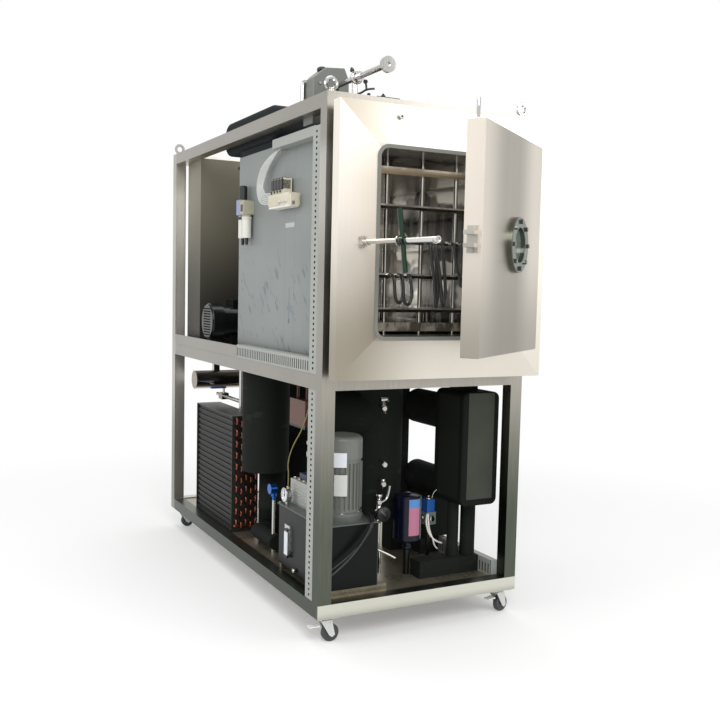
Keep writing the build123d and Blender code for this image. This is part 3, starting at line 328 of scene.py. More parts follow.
# heights above the frame's underside between which painted light and shade come in, and other limits, in mm
bands = {
    "postDark": (250, 1020), "postBright": (1150, 1450), "postBrightEnd": (1560, 1640),
    "rail": (-40, 30), "sideDark": (300, 800), "side": (500, 900), "rear": 1725,
    "plateLeft": (900, 1400), "plateEdges": (0, 830, 829, 1736), "plateAcross": 380,
    "doorMiddle": 470, "doorBand": (40, 230), "doorDark": (930, 1300),
}


def postPaintedLight(place, colour, lines):
    # painted light: a painted reflection makes the members darker and greener towards the floor, a painted
    # highlight band lies high up, painted reflections lighten the bottom rail's front and the rear members, and
    # painted shade darkens the left faces, most of all low down
    low = 1 - rise(place, *bands["postDark"])
    patch = place.noise(1.6, (1, 1, 0.6), detail=2)
    tone = (low * (0.8 + patch * 0.35)).clamp().mix(colour, steel["postLowReflection"])
    high = rise(place, *bands["postBright"]) * (1 - rise(place, *bands["postBrightEnd"]))
    tone = (high * 0.85 + lines * 0.1).clamp().mix(tone, steel["postHighlight"])
    rail = zone(place, free, (None, 6, 49)) * rise(place, *bands["rail"])
    tone = (rail * 0.95).mix(tone, steel["railFrontReflection"])
    rear = zone(place, (None, bands["rear"], None), free)
    tone = (rear * 0.55).mix(tone, steel["postRearHighlight"])
    left = leftward(place)
    dark = left * (1 - rise(place, *bands["sideDark"]))
    tone = (dark * 0.55).mix(tone, steel["postSideLowShade"])
    return (left * rise(place, *bands["side"]) * 0.6).mix(tone, steel["postSideShade"])


def platePaintedLight(place, colour, lines):
    # four folded margins that meet on the mitres, each with painted light: lighter high up and towards the right,
    # painted shade low down and towards the left
    x = (place.part("X") - corner.x) / mm
    z = (place.part("Z") - corner.z) / mm
    leftEdge, rightEdge, lowEdge, topEdge = bands["plateEdges"]
    right, above, below = rightEdge - x, topEdge - z, z - lowEdge
    across = (x / bands["plateAcross"]).bend(0.0, 1.0)
    height = rise(place, *bands["plateLeft"])
    leftSide = height.mix(steel["plateLeftLow"], steel["plateLeft"])
    topSide = across.mix(steel["plateTopLeft"], steel["plateTop"])
    lowSide = across.mix(steel["plateLow"], steel["plateLowRight"])
    isLow = place.sum("LESS_THAN", below, place.nearest(x, above))
    isTop = place.sum("LESS_THAN", above, place.nearest(x, below))
    isRight = place.sum("LESS_THAN", right, place.nearest(x, above, below))
    tone = isTop.mix(leftSide, topSide)
    tone = isLow.mix(tone, lowSide)
    tone = isRight.mix(tone, steel["plateLowRight"])
    mark = place.noise(2.0, (1, 1, 0.5), detail=3).bend(0.5, 0.7) * 0.22
    tone = (lines * 0.14).mix(tone, steel["plateLines"])
    return mark.mix(tone, steel["plateMarks"])


def doorPaintedLight(place, colour, lines):
    # painted reflection: a dark upright band across the middle of the face between lighter painted reflections at
    # the sides, and painted shade low down
    x = (place.part("X") - corner.x) / mm
    away = place.sum("ABSOLUTE", x - bands["doorMiddle"])
    streak = place.noise(6.0, (1, 1, 0.05), detail=2)
    share = ((1 - away.bend(*bands["doorBand"])) * (0.55 + streak * 0.5)).clamp()
    tone = (lines * 0.2).mix(steel["doorSideReflection"], colour)
    tone = (share * 0.85).mix(tone, steel["doorReflectionBand"])
    low = 1 - rise(place, *bands["doorDark"])
    return (low * 0.7).mix(tone, steel["doorLowShade"])


def mirrorWalls():
    # mirror-finished walls with painted light: a near-black painted reflection base, painted upright reflection
    # streaks and bright reflection patches, lighter painted light near the mouth and painted shade low down
    place, fill = finish("mirrorWall")
    upright = place.noise(9.0, (1.6, 1.6, 0.22), detail=3, rough=0.6)
    patch = place.noise(4.6, (1.0, 1.0, 1.5), detail=2, rough=0.5)
    dark = linear("161412")
    tone = (upright.bend(0.44, 0.58) * 0.6).mix(dark, linear("857f74"))
    tone = patch.bend(0.54, 0.60).mix(tone, linear("f8f6f0"))
    tone = zone(place, (None, -160, None), (None, 60, None)).mix(tone, linear("8d8980"))
    tone = ((1 - rise(place, 1000, 1030)) * 0.6).mix(tone, linear("55514a"))
    fill(Base_Color=tone, Metallic=0.3, Roughness=0.2 + upright * 0.1, bump=upright, depth=0.0006, push=0.2)


shelves = {"lowest": 933, "pitch": 119.0, "bright": (9.0, 11.0), "topEdge": (1527, 1545), "ramTop": 1051}


def shelfSteel():
    # polished plates with painted light: a painted highlight line over painted shade at each edge, darker painted
    # reflection streaks, a paler lip on the top plate and painted reflection streaks on the pressing plate
    place, fill = finish("shelfSteel")
    streak = place.noise(26.0, (1, 0.3, 0.5), detail=3, rough=0.6)
    height = (place.part("Z") - corner.z) / mm
    within = place.sum("MODULO", height - shelves["lowest"], shelves["pitch"])
    tone = within.bend(*shelves["bright"]).mix(linear("2e2b27"), linear("f2ede4"))
    tone = (streak.bend(0.42, 0.6) * 0.45).mix(tone, linear("6d675e"))
    low, high = shelves["topEdge"]
    lip = zone(place, (None, None, low), (None, None, high))
    tone = (lip * 0.8).mix(tone, linear("b7a893"))
    ram = zone(place, free, (None, None, shelves["ramTop"]))
    tone = (ram * streak.bend(0.35, 0.55)).mix(tone, linear("8a867d"))
    fill(Base_Color=tone, Metallic=0.8, Roughness=0.14 + streak * 0.12, bump=streak, depth=0.0004, push=0.15)


film = {
    "seams": (235, 390, 480), "seamHalf": (0.0006, 0.0022), "creases": (1150, 1350),
    "smudge": ((None, 395, 1355), (None, 480, 1372)),
    "shaft": ((None, 432, 1010), (None, 436, 1130)), "tip": ((None, 428, 995), (None, 440, 1012)),
}


def filmPanel():
    # sheet steel under grey protective film: strips, creases, a pale smudge and a plain arrow
    place, fill = finish("filmSheet")
    along, high = place.part("Y"), place.part("Z")
    clouds = place.noise(2.4, (1, 0.8, 1.4), detail=3)
    tone = clouds.mix(linear("6d7373"), linear("979b98"))
    tone = (rise(place, 1250, 1650) * 0.4).mix(tone, linear("7f8786"))
    for edge in film["seams"]:
        away = place.sum("ABSOLUTE", along - (corner.y + edge * mm))
        tone = ((1 - away.bend(*film["seamHalf"])) * 0.45).mix(tone, linear("60686a"))
    slant = along * 0.55 - high * 0.45
    spread = place.node("ShaderNodeCombineXYZ", X=slant * 16.0, Y=(along + high) * 2.2, Z=0.0)
    crease = place.node("ShaderNodeTexNoise", Vector=spread, Scale=3.0, Detail=3.0, Roughness=0.6)
    line = crease.bend(0.58, 0.66) * (1 - rise(place, *film["creases"]))
    tone = (line * 0.6).mix(tone, linear("46606e"))
    smudge = zone(place, *film["smudge"]) * 0.55
    tone = smudge.mix(tone, linear("d5d8d4"))
    tone = ((zone(place, *film["shaft"]) + zone(place, *film["tip"])).clamp() * 0.8).mix(tone, linear("34566e"))
    fill(Base_Color=tone, Metallic=0.2, Roughness=0.34 + clouds * 0.2, bump=crease, depth=0.0006, push=0.25)


def foamSkin():
    # closed-cell foam sheet: matt, faintly mottled, worn in places and greyer high up
    place, fill = finish("blackFoam")
    fine = place.noise(140.0, detail=2)
    broad = place.noise(4.0, detail=3)
    tone = (fine * 0.35 + broad * 0.65).clamp().mix(linear("0d100e"), linear("232724"))
    worn = place.noise(9.0, (1, 1, 2.0), detail=4).bend(0.60, 0.75) * 0.4
    tone = worn.mix(tone, linear("373b36"))
    tone = (rise(place, 880, 950) * 0.35).mix(tone, linear("30343a"))
    fill(Base_Color=tone, Roughness=0.72 + broad * 0.2, Specular_IOR_Level=0.12,
         bump=fine + broad, depth=0.0009, push=0.35)


foamFaces = {"front": ((636, None, 348), (752, 62, 796)), "side": ((None, 84, 348), (613, 226, 800))}


def foamBox():
    # foam case: black bevelled rim with a paler flat front
    place, fill = finish("foamCase")
    fine = place.noise(140.0, detail=2)
    broad = place.noise(5.0, detail=3)
    tone = (fine * 0.4 + broad * 0.6).clamp().mix(linear("0e100e"), linear("191b18"))
    front = zone(place, *foamFaces["front"])
    tone = front.mix(tone, broad.mix(linear("33372f"), linear("4a4e45")))
    side = zone(place, *foamFaces["side"]) * 0.35
    tone = side.mix(tone, linear("2c302c"))
    fill(Base_Color=tone, Roughness=0.66 + broad * 0.2, Specular_IOR_Level=0.12, bump=fine, depth=0.0008, push=0.3)


def cabinetSkin():
    # olive-grey sheet that fades to near black low down
    place, fill = finish("cabinetSheet")
    clouds = place.noise(1.8, (1, 1, 0.8), detail=2)
    tone = (rise(place, 980, 1700) * 0.85 + clouds * 0.15).clamp().mix(linear("1d1d18"), linear("827d6c"))
    fill(Base_Color=tone, Metallic=0.3, Roughness=0.42 + clouds * 0.15, bump=clouds, depth=0.0005, push=0.2)


finPitch = 25


def finSheet():
    # painted fins whose edges catch the light once in every pitch
    place, fill = finish("finGrey")
    fine = place.noise(60.0, (1, 1, 2.5), detail=2)
    wave = place.part("Z") * (2 * math.pi / (finPitch * mm))
    ridge = place.sum("SINE", wave).bend(0.1, 0.9)
    tone = (ridge * 0.6 + fine * 0.3).clamp().mix(linear("0b0d0b"), linear("262b25"))
    fill(Base_Color=tone, Metallic=0.3, Roughness=0.5, Specular_IOR_Level=0.3, bump=fine, depth=0.0006, push=0.3)


def bronzeFloor():
    # dark sheet with a worn bronze gloss
    place, fill = finish("panSheet")
    clouds = place.noise(6.0, (1, 1, 1), detail=4, rough=0.6)
    spots = place.noise(26.0, detail=3).bend(0.55, 0.7)
    tone = clouds.mix(linear("5c5546"), linear("c2b8a2"))
    tone = (spots * 0.3).mix(tone, linear("b5ab99"))
    fill(Base_Color=tone, Metallic=0.75, Roughness=0.18 + clouds * 0.22, bump=clouds, depth=0.0006, push=0.2)


def glassFinish():
    fill = finish("clearGlass")[1]
    fill(Base_Color=(0.16, 0.2, 0.17), Roughness=0.04, Transmission_Weight=0.35, IOR=1.5)


brushed("satinSteel", "d2ccc1", "8d8880", shade=postPaintedLight)
brushed("plateSteel", "f2ece2", "c4bcae", rough=(0.30, 0.46), shade=platePaintedLight)
brushed("doorSteel", "d4ccc0", "9a9388", rough=(0.28, 0.42), shade=doorPaintedLight)
brushed("polished", "e4e2de", "8c8a86", rough=(0.05, 0.14), cloud=6.0)
brushed("flangeSteel", "85887f", "454a42", rough=(0.12, 0.26), cloud=9.0)
shelfSteel()
brushed("zinc", "f0f0ec", "b0b1ae", metal=0.5)
mirrorWalls()
filmPanel()
foamSkin()
foamBox()
cabinetSkin()
finSheet()
bronzeFloor()
glassFinish()
plain("wheelGrey", "3c3e40", 0.6)
plain("whitePlastic", "e8e6df", 0.4, size=30)
plain("gasketGrey", "7d7e78", 0.55)
plain("hoseDark", "2c2d2b", 0.32, coat=0.4, size=300)
plain("glossBlack", "131816", 0.2, spec=0.35, grain=0.35)
plain("tankBlack", "0b100d", 0.3, spec=0.16, grain=0.35, patches=(
    ((None, None, 300), free, "6a706b"),
    ((262, None, None), free, "3b403c")))
plain("motorGrey", "6c6f69", 0.42, grain=0.14)
plain("blockGrey", "b4b6b0", 0.45, grain=0.2, patches=(
    ((None, None, 395.5), free, "1d2c46"),))
plain("cableBlack", "161616", 0.4)
plain("darkCoat", "1d201b", 0.4)
plain("copper", "8c5244", 0.2, metal=0.9, grain=0.4, size=20)
plain("bluePlastic", "1f4fa0", 0.35)
plain("tealPlastic", "1b6a86", 0.35)
plain("blackPlastic", "191a1c", 0.4)
plain("creamPlastic", "dcd6c2", 0.45, grain=0.2)
plain("ductPlastic", "9ea19b", 0.5, grain=0.1, patches=(
    ((3, 53.5, None), (6.5, 110.5, None), "0b0c0b"),
    ((3, 116, 840), (6.5, None, 886), "3a3d3a"),
    ((749, None, None), (752.5, None, None), "2a2c2a")))
plain("tubeClear", "bdbfbb", 0.25, grain=0.1)
plain("brassTube", "8b8452", 0.35, metal=0.7)
plain("labelWhite", "dfe4ea", 0.4)
plain("labelGrey", "cfd0cb", 0.4)
plain("labelPink", "b4708a", 0.45)
plain("labelBlue", "4f86c6", 0.4)
plain("canBlue", "0a0d24", 0.3, spec=0.3)
plain("air", "a9a690", 0.4, grain=0.12, patches=(
    ((None, 860, 1400), free, "8d93b8"),
    (free, (None, None, 1409), "d8d8cf"),
    (free, (None, None, 1330), "23262a")))
plain("gaugeSet", "c9cac6", 0.16, metal=0.85, grain=0.15, patches=(
    ((None, None, 275), free, "c9cac6"),
    ((83, 640, 262), free, "1d63bd")))
plain("coolSet", "101311", 0.25, spec=0.3, grain=0.3, patches=(
    ((None, 100, 180), (530, 300, 400), "090c22"),
    ((560, 200, 215), (620, 300, 268), "7c8a80"),
    ((560, 200, 268), (620, 300, 330), "2c66b4"),
    ((None, None, 600), (200, 600, None), "5e3626")))
# painted reflection: the handle's outer end takes a dark green painted reflection
plain("handle", "d9dad6", 0.14, metal=0.9, grain=0.1, patches=(
    ((None, -384, None), free, "33463a"),))
print("finishes made")

wearing = {
    "satinSteel": ["frame_posts", "frame_rails", "equipment_deck", "latch_fork", "plate_fittings"],
    "plateSteel": ["front_plate"],
    "doorSteel": ["door"],
    "filmSheet": ["side_cladding"],
    "mirrorWall": ["chamber_shell"],
    "shelfSteel": ["top_plate", "shelf_1", "shelf_2", "shelf_3", "shelf_4", "pressing_plate"],
    "flangeSteel": ["sight_flange"],
    "polished": ["guide_rods", "swing_bolt", "clamp_washer", "roof_piping", "eye_bolts",
                 "water_and_vacuum_pipes"],
    "gaugeSet": ["gauges"],
    "panSheet": ["floor_pan"],
    "cabinetSheet": ["control_cabinet"],
    "zinc": ["caster_mounts", "caster_fork_front_left", "caster_fork_front_right"],
    "wheelGrey": [f"caster_wheel_{end}_{side}" for end in ("front", "back") for side in ("left", "right")],
    "whitePlastic": ["brake_pedal_front_left", "brake_pedal_front_right"],
    "gasketGrey": ["mouth_gasket"],
    "blackFoam": ["chamber_jacket", "foam_vessels", "foam_pipes"],
    "foamCase": ["exchanger_box"],
    "clearGlass": ["sight_glass"],
    "handle": ["latch_handle"],
    "hoseDark": ["shelf_hose_2", "shelf_hose_3"],
    "tankBlack": ["oil_tank"],
    "glossBlack": ["vacuum_pump", "pump_fan"],
    "coolSet": ["cooling_parts"],
    "motorGrey": ["hydraulic_motor", "roof_actuator"],
    "blockGrey": ["valve_block"],
    "cableBlack": ["motor_leads"],
    "finGrey": ["condenser_block"],
    "darkCoat": ["condenser_frame", "condenser_fan"],
    "copper": ["condenser_bends"],
    "bluePlastic": ["valve_lever"],
    "air": ["air_unit"],
    "blackPlastic": ["regulator_knob"],
    "creamPlastic": ["valve_manifold"],
    "ductPlastic": ["wire_ducts"],
}
for look, members in wearing.items():
    for member in members:
        for holder in nodes[member].material_slots:
            holder.material = finishes[look]
print("finishes on")


def smoothLine(name, points, radius, sides=5):
    # a round line through control points given as frame coordinates in metres
    data = bpy.data.curves.new(name, "CURVE")
    data.dimensions = "3D"
    line = data.splines.new("NURBS")
    line.points.add(len(points) - 1)
    for spot, point in zip(line.points, points):
        spot.co = (*point, 1)
    line.order_u = 3
    line.use_endpoint_u = True
    line.resolution_u = 8
    data.bevel_depth = radius
    data.bevel_resolution = sides
    data.use_fill_caps = True
    return bpy.data.objects.new(name, data)


upward, downward = (0, 0, 1), (0, 0, -1)
toLeft, toFront, toBack = (-1, 0, 0), (0, -1, 0), (0, 1, 0)


class Piece:
    # gathers turned, boxed and bent forms, in the frame's millimetres, into one mesh

    def __init__(self, name, body, slot, *looks):
        self.name, self.body, self.slot, self.looks = name, body, slot, looks
        self.form = bmesh.new()

    def take(self, mesh, look, smooth):
        before = len(self.form.faces)
        self.form.from_mesh(mesh)
        self.form.faces.ensure_lookup_table()
        for face in self.form.faces[before:]:
            face.material_index = look
            face.smooth = smooth
        bpy.data.meshes.remove(mesh)

    def turned(self, start, axis, outline, look=0, sides=32):
        # outline pairs are (radius, distance along the axis)
        spot = at(*start)
        turn = Vector(axis).to_track_quat("Z", "Y").to_matrix()
        rings = []
        for radius, far in outline:
            ring = []
            for i in range(sides):
                a = 2 * math.pi * i / sides
                point = Vector((radius * math.cos(a), radius * math.sin(a), far))
                ring.append(self.form.verts.new(spot + turn @ point * mm))
            rings.append(ring)
        faces = []
        for low, high in zip(rings, rings[1:]):
            for i in range(sides):
                j = (i + 1) % sides
                faces.append(self.form.faces.new((low[i], low[j], high[j], high[i])))
        faces.append(self.form.faces.new(reversed(rings[0])))
        faces.append(self.form.faces.new(rings[-1]))
        for face in faces:
            face.material_index = look
        for face in faces[:-2]:
            face.smooth = True
        return self

    def block(self, low, high, edge=1.5, look=0):
        # a box with rounded edges
        part = bmesh.new()
        bmesh.ops.create_cube(part, size=1)
        a, b = Vector(low), Vector(high)
        size = b - a
        for vert in part.verts:
            vert.co = Vector((vert.co.x * size.x, vert.co.y * size.y, vert.co.z * size.z))
        bmesh.ops.bevel(part, geom=part.edges[:], offset=edge, segments=2, affect="EDGES", profile=0.5)
        middle = at(*((a + b) / 2))
        for vert in part.verts:
            vert.co = middle + vert.co * mm
        return self.keep(part, look)

    def slab(self, outline, front, back, edge, look=0):
        # an outline of (x, z) pairs drawn out from front to back, with rounded edges
        part = bmesh.new()
        near, away = [], []
        for x, z in outline:
            near.append(part.verts.new(at(x, front, z)))
            away.append(part.verts.new(at(x, back, z)))
        part.faces.new(near)
        part.faces.new(reversed(away))
        for i in range(len(near)):
            j = (i + 1) % len(near)
            part.faces.new((near[j], near[i], away[i], away[j]))
        bmesh.ops.bevel(part, geom=part.edges[:], offset=edge * mm, segments=2, affect="EDGES", profile=0.5)
        return self.keep(part, look)

    def arc(self, axis, radius, first, last, steps, height):
        # corners round an upright axis, at angles that run from straight ahead towards the right
        turns = [math.radians(first + (last - first) * i / steps) for i in range(steps + 1)]
        x, y = axis
        return [self.form.verts.new(at(x + radius * math.sin(a), y - radius * math.cos(a), height)) for a in turns]

    def keep(self, part, look):
        # a form that was bevelled by itself, because a bevel leaves gaps that later faces fill in any order
        mesh = bpy.data.meshes.new("part")
        part.to_mesh(mesh)
        part.free()
        self.take(mesh, look, False)
        return self

    def run(self, points, radius, look=0, sides=4):
        # a round bar along control points
        thing = smoothLine("run", [at(*p) for p in points], radius * mm, sides)
        mesh = bpy.data.meshes.new_from_object(thing)
        bpy.data.objects.remove(thing)
        self.take(mesh, look, True)
        return self

    def nut(self, start, axis, across, thick, look=0):
        # a hexagon, measured across its flats, with slightly chamfered corners
        r, chamfer = across / 2 / math.cos(math.pi / 6), 0.6
        outline = ((r * 0.93, 0), (r, chamfer), (r, thick - chamfer), (r * 0.93, thick))
        self.turned(start, axis, outline, look, 6)
        for face in self.form.faces[-8:]:
            face.smooth = False
        return self

    def made(self):
        bmesh.ops.recalc_face_normals(self.form, faces=self.form.faces)
        mesh = bpy.data.meshes.new(self.name)
        self.form.to_mesh(mesh)
        self.form.free()
        for look in self.looks:
            mesh.materials.append(finishes[look])
        thing = bpy.data.objects.new(self.name, mesh)
        show(thing)
        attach(thing, self.body)
        return thing


leads = {
    "names": ("motorLeadOne", "motorLeadTwo"), "step": 12.0,  # the second lead lies this far from the first
    "radius": 4.5, "length": 0.615,  # in metres, from the terminals to the end behind the post
}


def makeLeads():
    radius = leads["radius"] * mm
    for turn, name in enumerate(leads["names"]):
        s = turn * leads["step"]
        route = [(-234 - s, -629, 542), (-234 - s, -629, 411 + s), (-151 - s, -638, 411 + s),
                 (-151 - s, -770, 412 + s / 2), (-181 - s, -845 - s, 412), (-197 - s, -847 - s, 370),
                 (-271 - s, -849 - s, 294 - s), (-351, -849 - s, 250 - s)]
        thing = smoothLine(name, [Vector(p) * mm for p in route], radius)
        thing.data.materials.append(finishes["cableBlack"])
        show(thing)
        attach(thing, "machine")
        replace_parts(thing, "motor_leads")
    print("motor leads laid")


makeLeads()

bends = {
    "left": 58.0, "pitch": 22.0, "columns": 5, "rows": 10, "rise": 50.0, "base": 60.0,
    "face": 1021.0, "reach": 21.0, "half": 13.5, "radius": 5.2, "stagger": 12.5,
    "header": ((62, 1014, 75), (70, 1010, 75), (120, 1010, 74), (150, 1010, 73)), "headerRadius": 5,
}


def makeBends():
    # copper return bends, every second column lower by the stagger
    b = bends
    piece = Piece("returnBends", "machine", "copper", "copper")
    y, h, far = b["face"], b["half"], b["face"] - b["reach"]
    near = y - b["reach"] / 1.75 * 0.7
    for column in range(b["columns"]):
        x = b["left"] + (column + 0.5) * b["pitch"]
        drop = b["stagger"] * (column % 2)
        for row in range(b["rows"]):
            z = b["base"] + (row + 0.5) * b["rise"] - drop + b["stagger"] / 2
            piece.run(((x, y, z - h), (x, near, z - h), (x, far, z - h * 0.75),
                       (x, far, z + h * 0.75), (x, near, z + h), (x, y, z + h)), b["radius"], sides=3)
    piece.run(b["header"], b["headerRadius"])
    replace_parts(piece.made(), "condenser_bends")
    print("return bends made")


makeBends()

hoses = {
    "radius": 6.0, "front": -6.0, "root": 34, "fittingRoot": 31,
    "fitting": ((8.5, 0), (8.5, 12), (7, 13), (7, 22)),
    # start, far end and lowest point of each loop
    "upper": ((404, 446, 1076), (430, 478, 1084), (505, 560, 1150)), "upperHeight": 1298,
    "lower": ((262, 300, 1088), (296, 336, 1082)), "lowerHeight": 1179,
}


def makeHoses():
    # braided oil hoses that loop below the shelves' front edges
    h = hoses
    y, r, root, z = h["front"], h["radius"], h["root"], h["upperHeight"]
    right = Piece("shelfHoseUpper", "shelf_three", "hose_braid", "hoseDark", "polished")
    for a, b, low in h["upper"]:
        right.run(((a, root, z), (a, y, z + 2), (a + 2, y - 2, 1262), (a + 18, y, 1190), (a + 26, y, low + 40),
                   (a + 30, y, low), (b - 6, y + 8, low - 4), (b + 4, y + 10, low + 36), (b - 4, y + 12, 1200),
                   (b - 12, y + 12, 1270), (b - 12, y + 14, z + 1), (b - 12, root, z)), r)
        for x in (a, b - 12):
            right.turned((x, h["fittingRoot"], z), toFront, h["fitting"], 1, 12)
    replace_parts(right.made(), "shelf_hose_3")
    z = h["lowerHeight"]
    left = Piece("shelfHoseLower", "shelf_two", "hose_braid", "hoseDark", "polished")
    for a, b, low in h["lower"]:
        left.run(((a, root, z), (a, y, z + 1), (a + 2, y - 2, 1150), (a + 6, y, 1112), (a + 12, y, low),
                  (b - 4, y + 8, low - 4), (b + 6, y + 10, low + 30), (b + 2, y + 12, 1150),
                  (b, y + 14, z + 1), (b, root, z)), r)
        for x in (a, b):
            left.turned((x, h["fittingRoot"], z), toFront, h["fitting"], 1, 12)
    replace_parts(left.made(), "shelf_hose_2")
    print("shelf hoses made")


makeHoses()

motor = {
    "axis": (163, 170), "steps": 8, "thick": 1.2,
    # bottom, top, angles from straight ahead, distance from the axis and look of each plate
    "plates": ((500, 552, (-49, -12), 77.2, 0), (398, 474, (-44, -10), 79.5, 1)),
    "nuts": (-80, -20, 40, 100, 160, 220), "nutCircle": 69, "nutHeight": 326, "nutSize": (10, 7),
}


def makeMotorDress():
    # bare plates, and nuts round the motor's foot
    piece = Piece("motorPlates", "machine", "motor_grey", "labelWhite", "labelGrey", "polished")
    x, y = motor["axis"]
    steps = motor["steps"]
    n = steps + 1
    for low, high, (first, last), inner, look in motor["plates"]:
        verts = []
        for rim in (inner, inner + motor["thick"]):
            for height in (low, high):
                verts += piece.arc(motor["axis"], rim, first, last, steps, height)
        quads = []
        for i in range(steps):
            quads += [(i, i + 1, n + i + 1, n + i), (2 * n + i, 2 * n + i + 1, 3 * n + i + 1, 3 * n + i),
                      (i, i + 1, 2 * n + i + 1, 2 * n + i), (n + i, n + i + 1, 3 * n + i + 1, 3 * n + i)]
        quads += [(i, n + i, 3 * n + i, 2 * n + i) for i in (0, steps)]
        for quad in quads:
            piece.form.faces.new([verts[k] for k in quad]).material_index = look
    for a in motor["nuts"]:
        turn, r = math.radians(a), motor["nutCircle"]
        spot = (x + r * math.sin(turn), y - r * math.cos(turn), motor["nutHeight"])
        piece.nut(spot, upward, *motor["nutSize"], 2)
    piece.made()
    print("motor plates made")


makeMotorDress()

tank = {
    "hooks": (216, 114), "window": ((33.5, 352, 126), (36.6, 382, 214)),
    "cap": ((236, 400, 302), upward, ((17, 0), (17, 5), (15, 6), (15, 22), (13, 25))),
    "screws": ((52, 70), (262, 70), (52, 464), (262, 464)), "lid": 303, "drain": (44, 300, 82),
}
dialGauge = {
    "y": 425, "z": 341, "back": 53.2, "face": 52.8, "hub": 51.6, "hand": ((50.2, 423.8, 334), (51, 426.2, 360)),
    "rim": ((27, 0), (28.5, 1), (28.5, 4), (26, 5.4), (23.4, 4.2), (23.2, 1)),
    "marks": 9, "markCircle": 20, "firstMark": -120, "markStep": 30, "markHalf": 0.7,
}
gaugeTube = {
    "path": ((66, 425, 372), (64, 416, 420), (56, 410, 470), (60, 372, 540), (70, 320, 600),
             (78, 290, 660), (84, 270, 720), (84, 262, 790)),
    "radius": 2.4, "nut": (66, 425, 362),
}
blockTrim = {
    "ribs": 6, "firstRib": 312, "ribStep": 14, "ribHeight": 6, "studs": (330, 372, 414, 456),
    "plug": ((118, 336, 395), upward, ((9, 0), (9, 30), (13, 31), (13, 40), (9, 41), (9, 70))),
    "joint": ((112, 330, 500), upward,
              ((10, 0), (14, 2), (14, 20), (9, 22), (9, 46), (14, 48), (14, 60), (8, 62))),
    "link": ((112, 330, 460), (112, 332, 470), (114, 336, 500)),
}


def makeTankDress():
    t = tank
    piece = Piece("tankTrim", "machine", "gloss_black", "blackPlastic", "polished", "labelWhite")
    # hooks of the level gauge and its pale window
    for z in t["hooks"]:
        piece.block((34, 356, z), (44, 378, z + 10), 1.5, 0)
    piece.block(*t["window"], 1.0, 2)
    # filler cap and screws on the lid, and a drain plug low on the side
    piece.turned(*t["cap"], 0)
    for x, y in t["screws"]:
        piece.nut((x, y, t["lid"]), upward, 9, 5, 1)
    piece.nut(t["drain"], toLeft, 16, 8, 1)
    piece.made()
    # dial of the pressure gauge with plain marks, its hand and its rim
    d = dialGauge
    dial = Piece("dialFace", "machine", "polished_stainless", "polished", "labelWhite", "blackPlastic")
    dial.turned((d["back"], d["y"], d["z"]), toLeft, d["rim"], 0)
    dial.turned((d["face"], d["y"], d["z"]), toLeft, ((23.3, 0), (23.3, 1.2)), 1)
    dial.block(*d["hand"], 0.3, 2)
    dial.turned((d["hub"], d["y"], d["z"]), toLeft, ((3.4, 0), (3.4, 1.6), (2, 2.4)), 2, 16)
    for step in range(d["marks"]):
        a, half = math.radians(d["firstMark"] + d["markStep"] * step), d["markHalf"]
        y, z = d["y"] + d["markCircle"] * math.sin(a), d["z"] + d["markCircle"] * math.cos(a)
        dial.block((51.0, y - half, z - half), (51.8, y + half, z + half), 0.2, 2)
    dial.made()
    # thin tube from the gauge up to the vessel
    thin = Piece("gaugeTube", "machine", "copper", "brassTube", "polished")
    thin.run(gaugeTube["path"], gaugeTube["radius"], 0, 3)
    thin.nut(gaugeTube["nut"], upward, 11, 12, 1)
    thin.made()
    # ribs, studs and pipe joints round the valve block
    b = blockTrim
    block = Piece("blockTrim", "machine", "motor_grey", "blockGrey", "polished")
    for k in range(b["ribs"]):
        z = b["firstRib"] + k * b["ribStep"]
        block.block((93, 316, z), (97, 464, z + b["ribHeight"]), 0.8, 0)
    for y in b["studs"]:
        block.nut((110, y, 395), upward, 12, 8, 1)
    block.turned(*b["plug"], 1, 20)
    block.turned(*b["joint"], 1, 20)
    block.run(b["link"], 8, 1)
    block.made()
    print("tank trim made")


makeTankDress()

charge = {
    # place and height of each fitting beside the vessel
    "fittings": ((352, 200, 690, 44), (360, 202, 478, 18), (357, 202, 404, 34), (342, 204, 336, 26)),
    "cross": ((352, 200, 724), toLeft, ((7, -16), (9, -14), (9, 14), (7, 16))),
    "valve": ((345, 210, 262), upward,
              ((9, 0), (9, 24), (16, 26), (16, 44), (9, 46), (9, 88), (12, 90), (12, 102), (7, 104))),
    "wheel": ((345, 186, 296), toFront,
              ((8, -8), (8, 4), (26, 6), (29, 10), (29, 15), (26, 18), (7, 20), (5, 26))),
    "drop": ((345, 210, 262), (345, 212, 200), (352, 216, 150), (356, 216, 110), (356, 216, 60)),
    "branch": ((345, 212, 330), (372, 212, 336), (388, 214, 356), (392, 214, 392)),
    "rod": ((318, 178, 166), (350, 172, 152), (392, 160, 128)), "rodNut": (318, 180, 166),
}
filterCan = {
    "axis": (468, 206), "radius": 53.8, "first": -24, "last": 28, "steps": 8,
    "labels": ((312, 345, 0), (206, 312, 1)),
    "top": 349, "topOutline": ((51, 0), (46, 4), (18, 7), (10, 8), (10, 14)),
    "foot": 186, "footOutline": ((51, 0), (44, 6), (14, 9), (13, 30), (17, 31), (17, 42), (12, 44)),
}
solenoid = {
    "leads": (
        (((570, 226, 262), (556, 214, 246), (560, 206, 206), (574, 204, 180), (598, 200, 158),
          (622, 198, 150)), 3.6, 0),
        (((574, 226, 262), (566, 212, 240), (568, 204, 202), (584, 202, 168), (592, 204, 140),
          (606, 204, 128)), 3.2, 0),
        (((596, 240, 316), (600, 238, 340), (612, 230, 356), (626, 222, 372)), 2.4, 1)),
    "stem": ((589, 250, 317), upward, ((17, 0), (17, 5), (9, 6), (9, 13), (6, 15))),
    "frontNut": (589, 226, 244), "sideNut": (566, 250, 244),
}
columnBrackets = {"heights": (508, 560), "low": (636, 140), "high": (652, 210), "thick": 12}


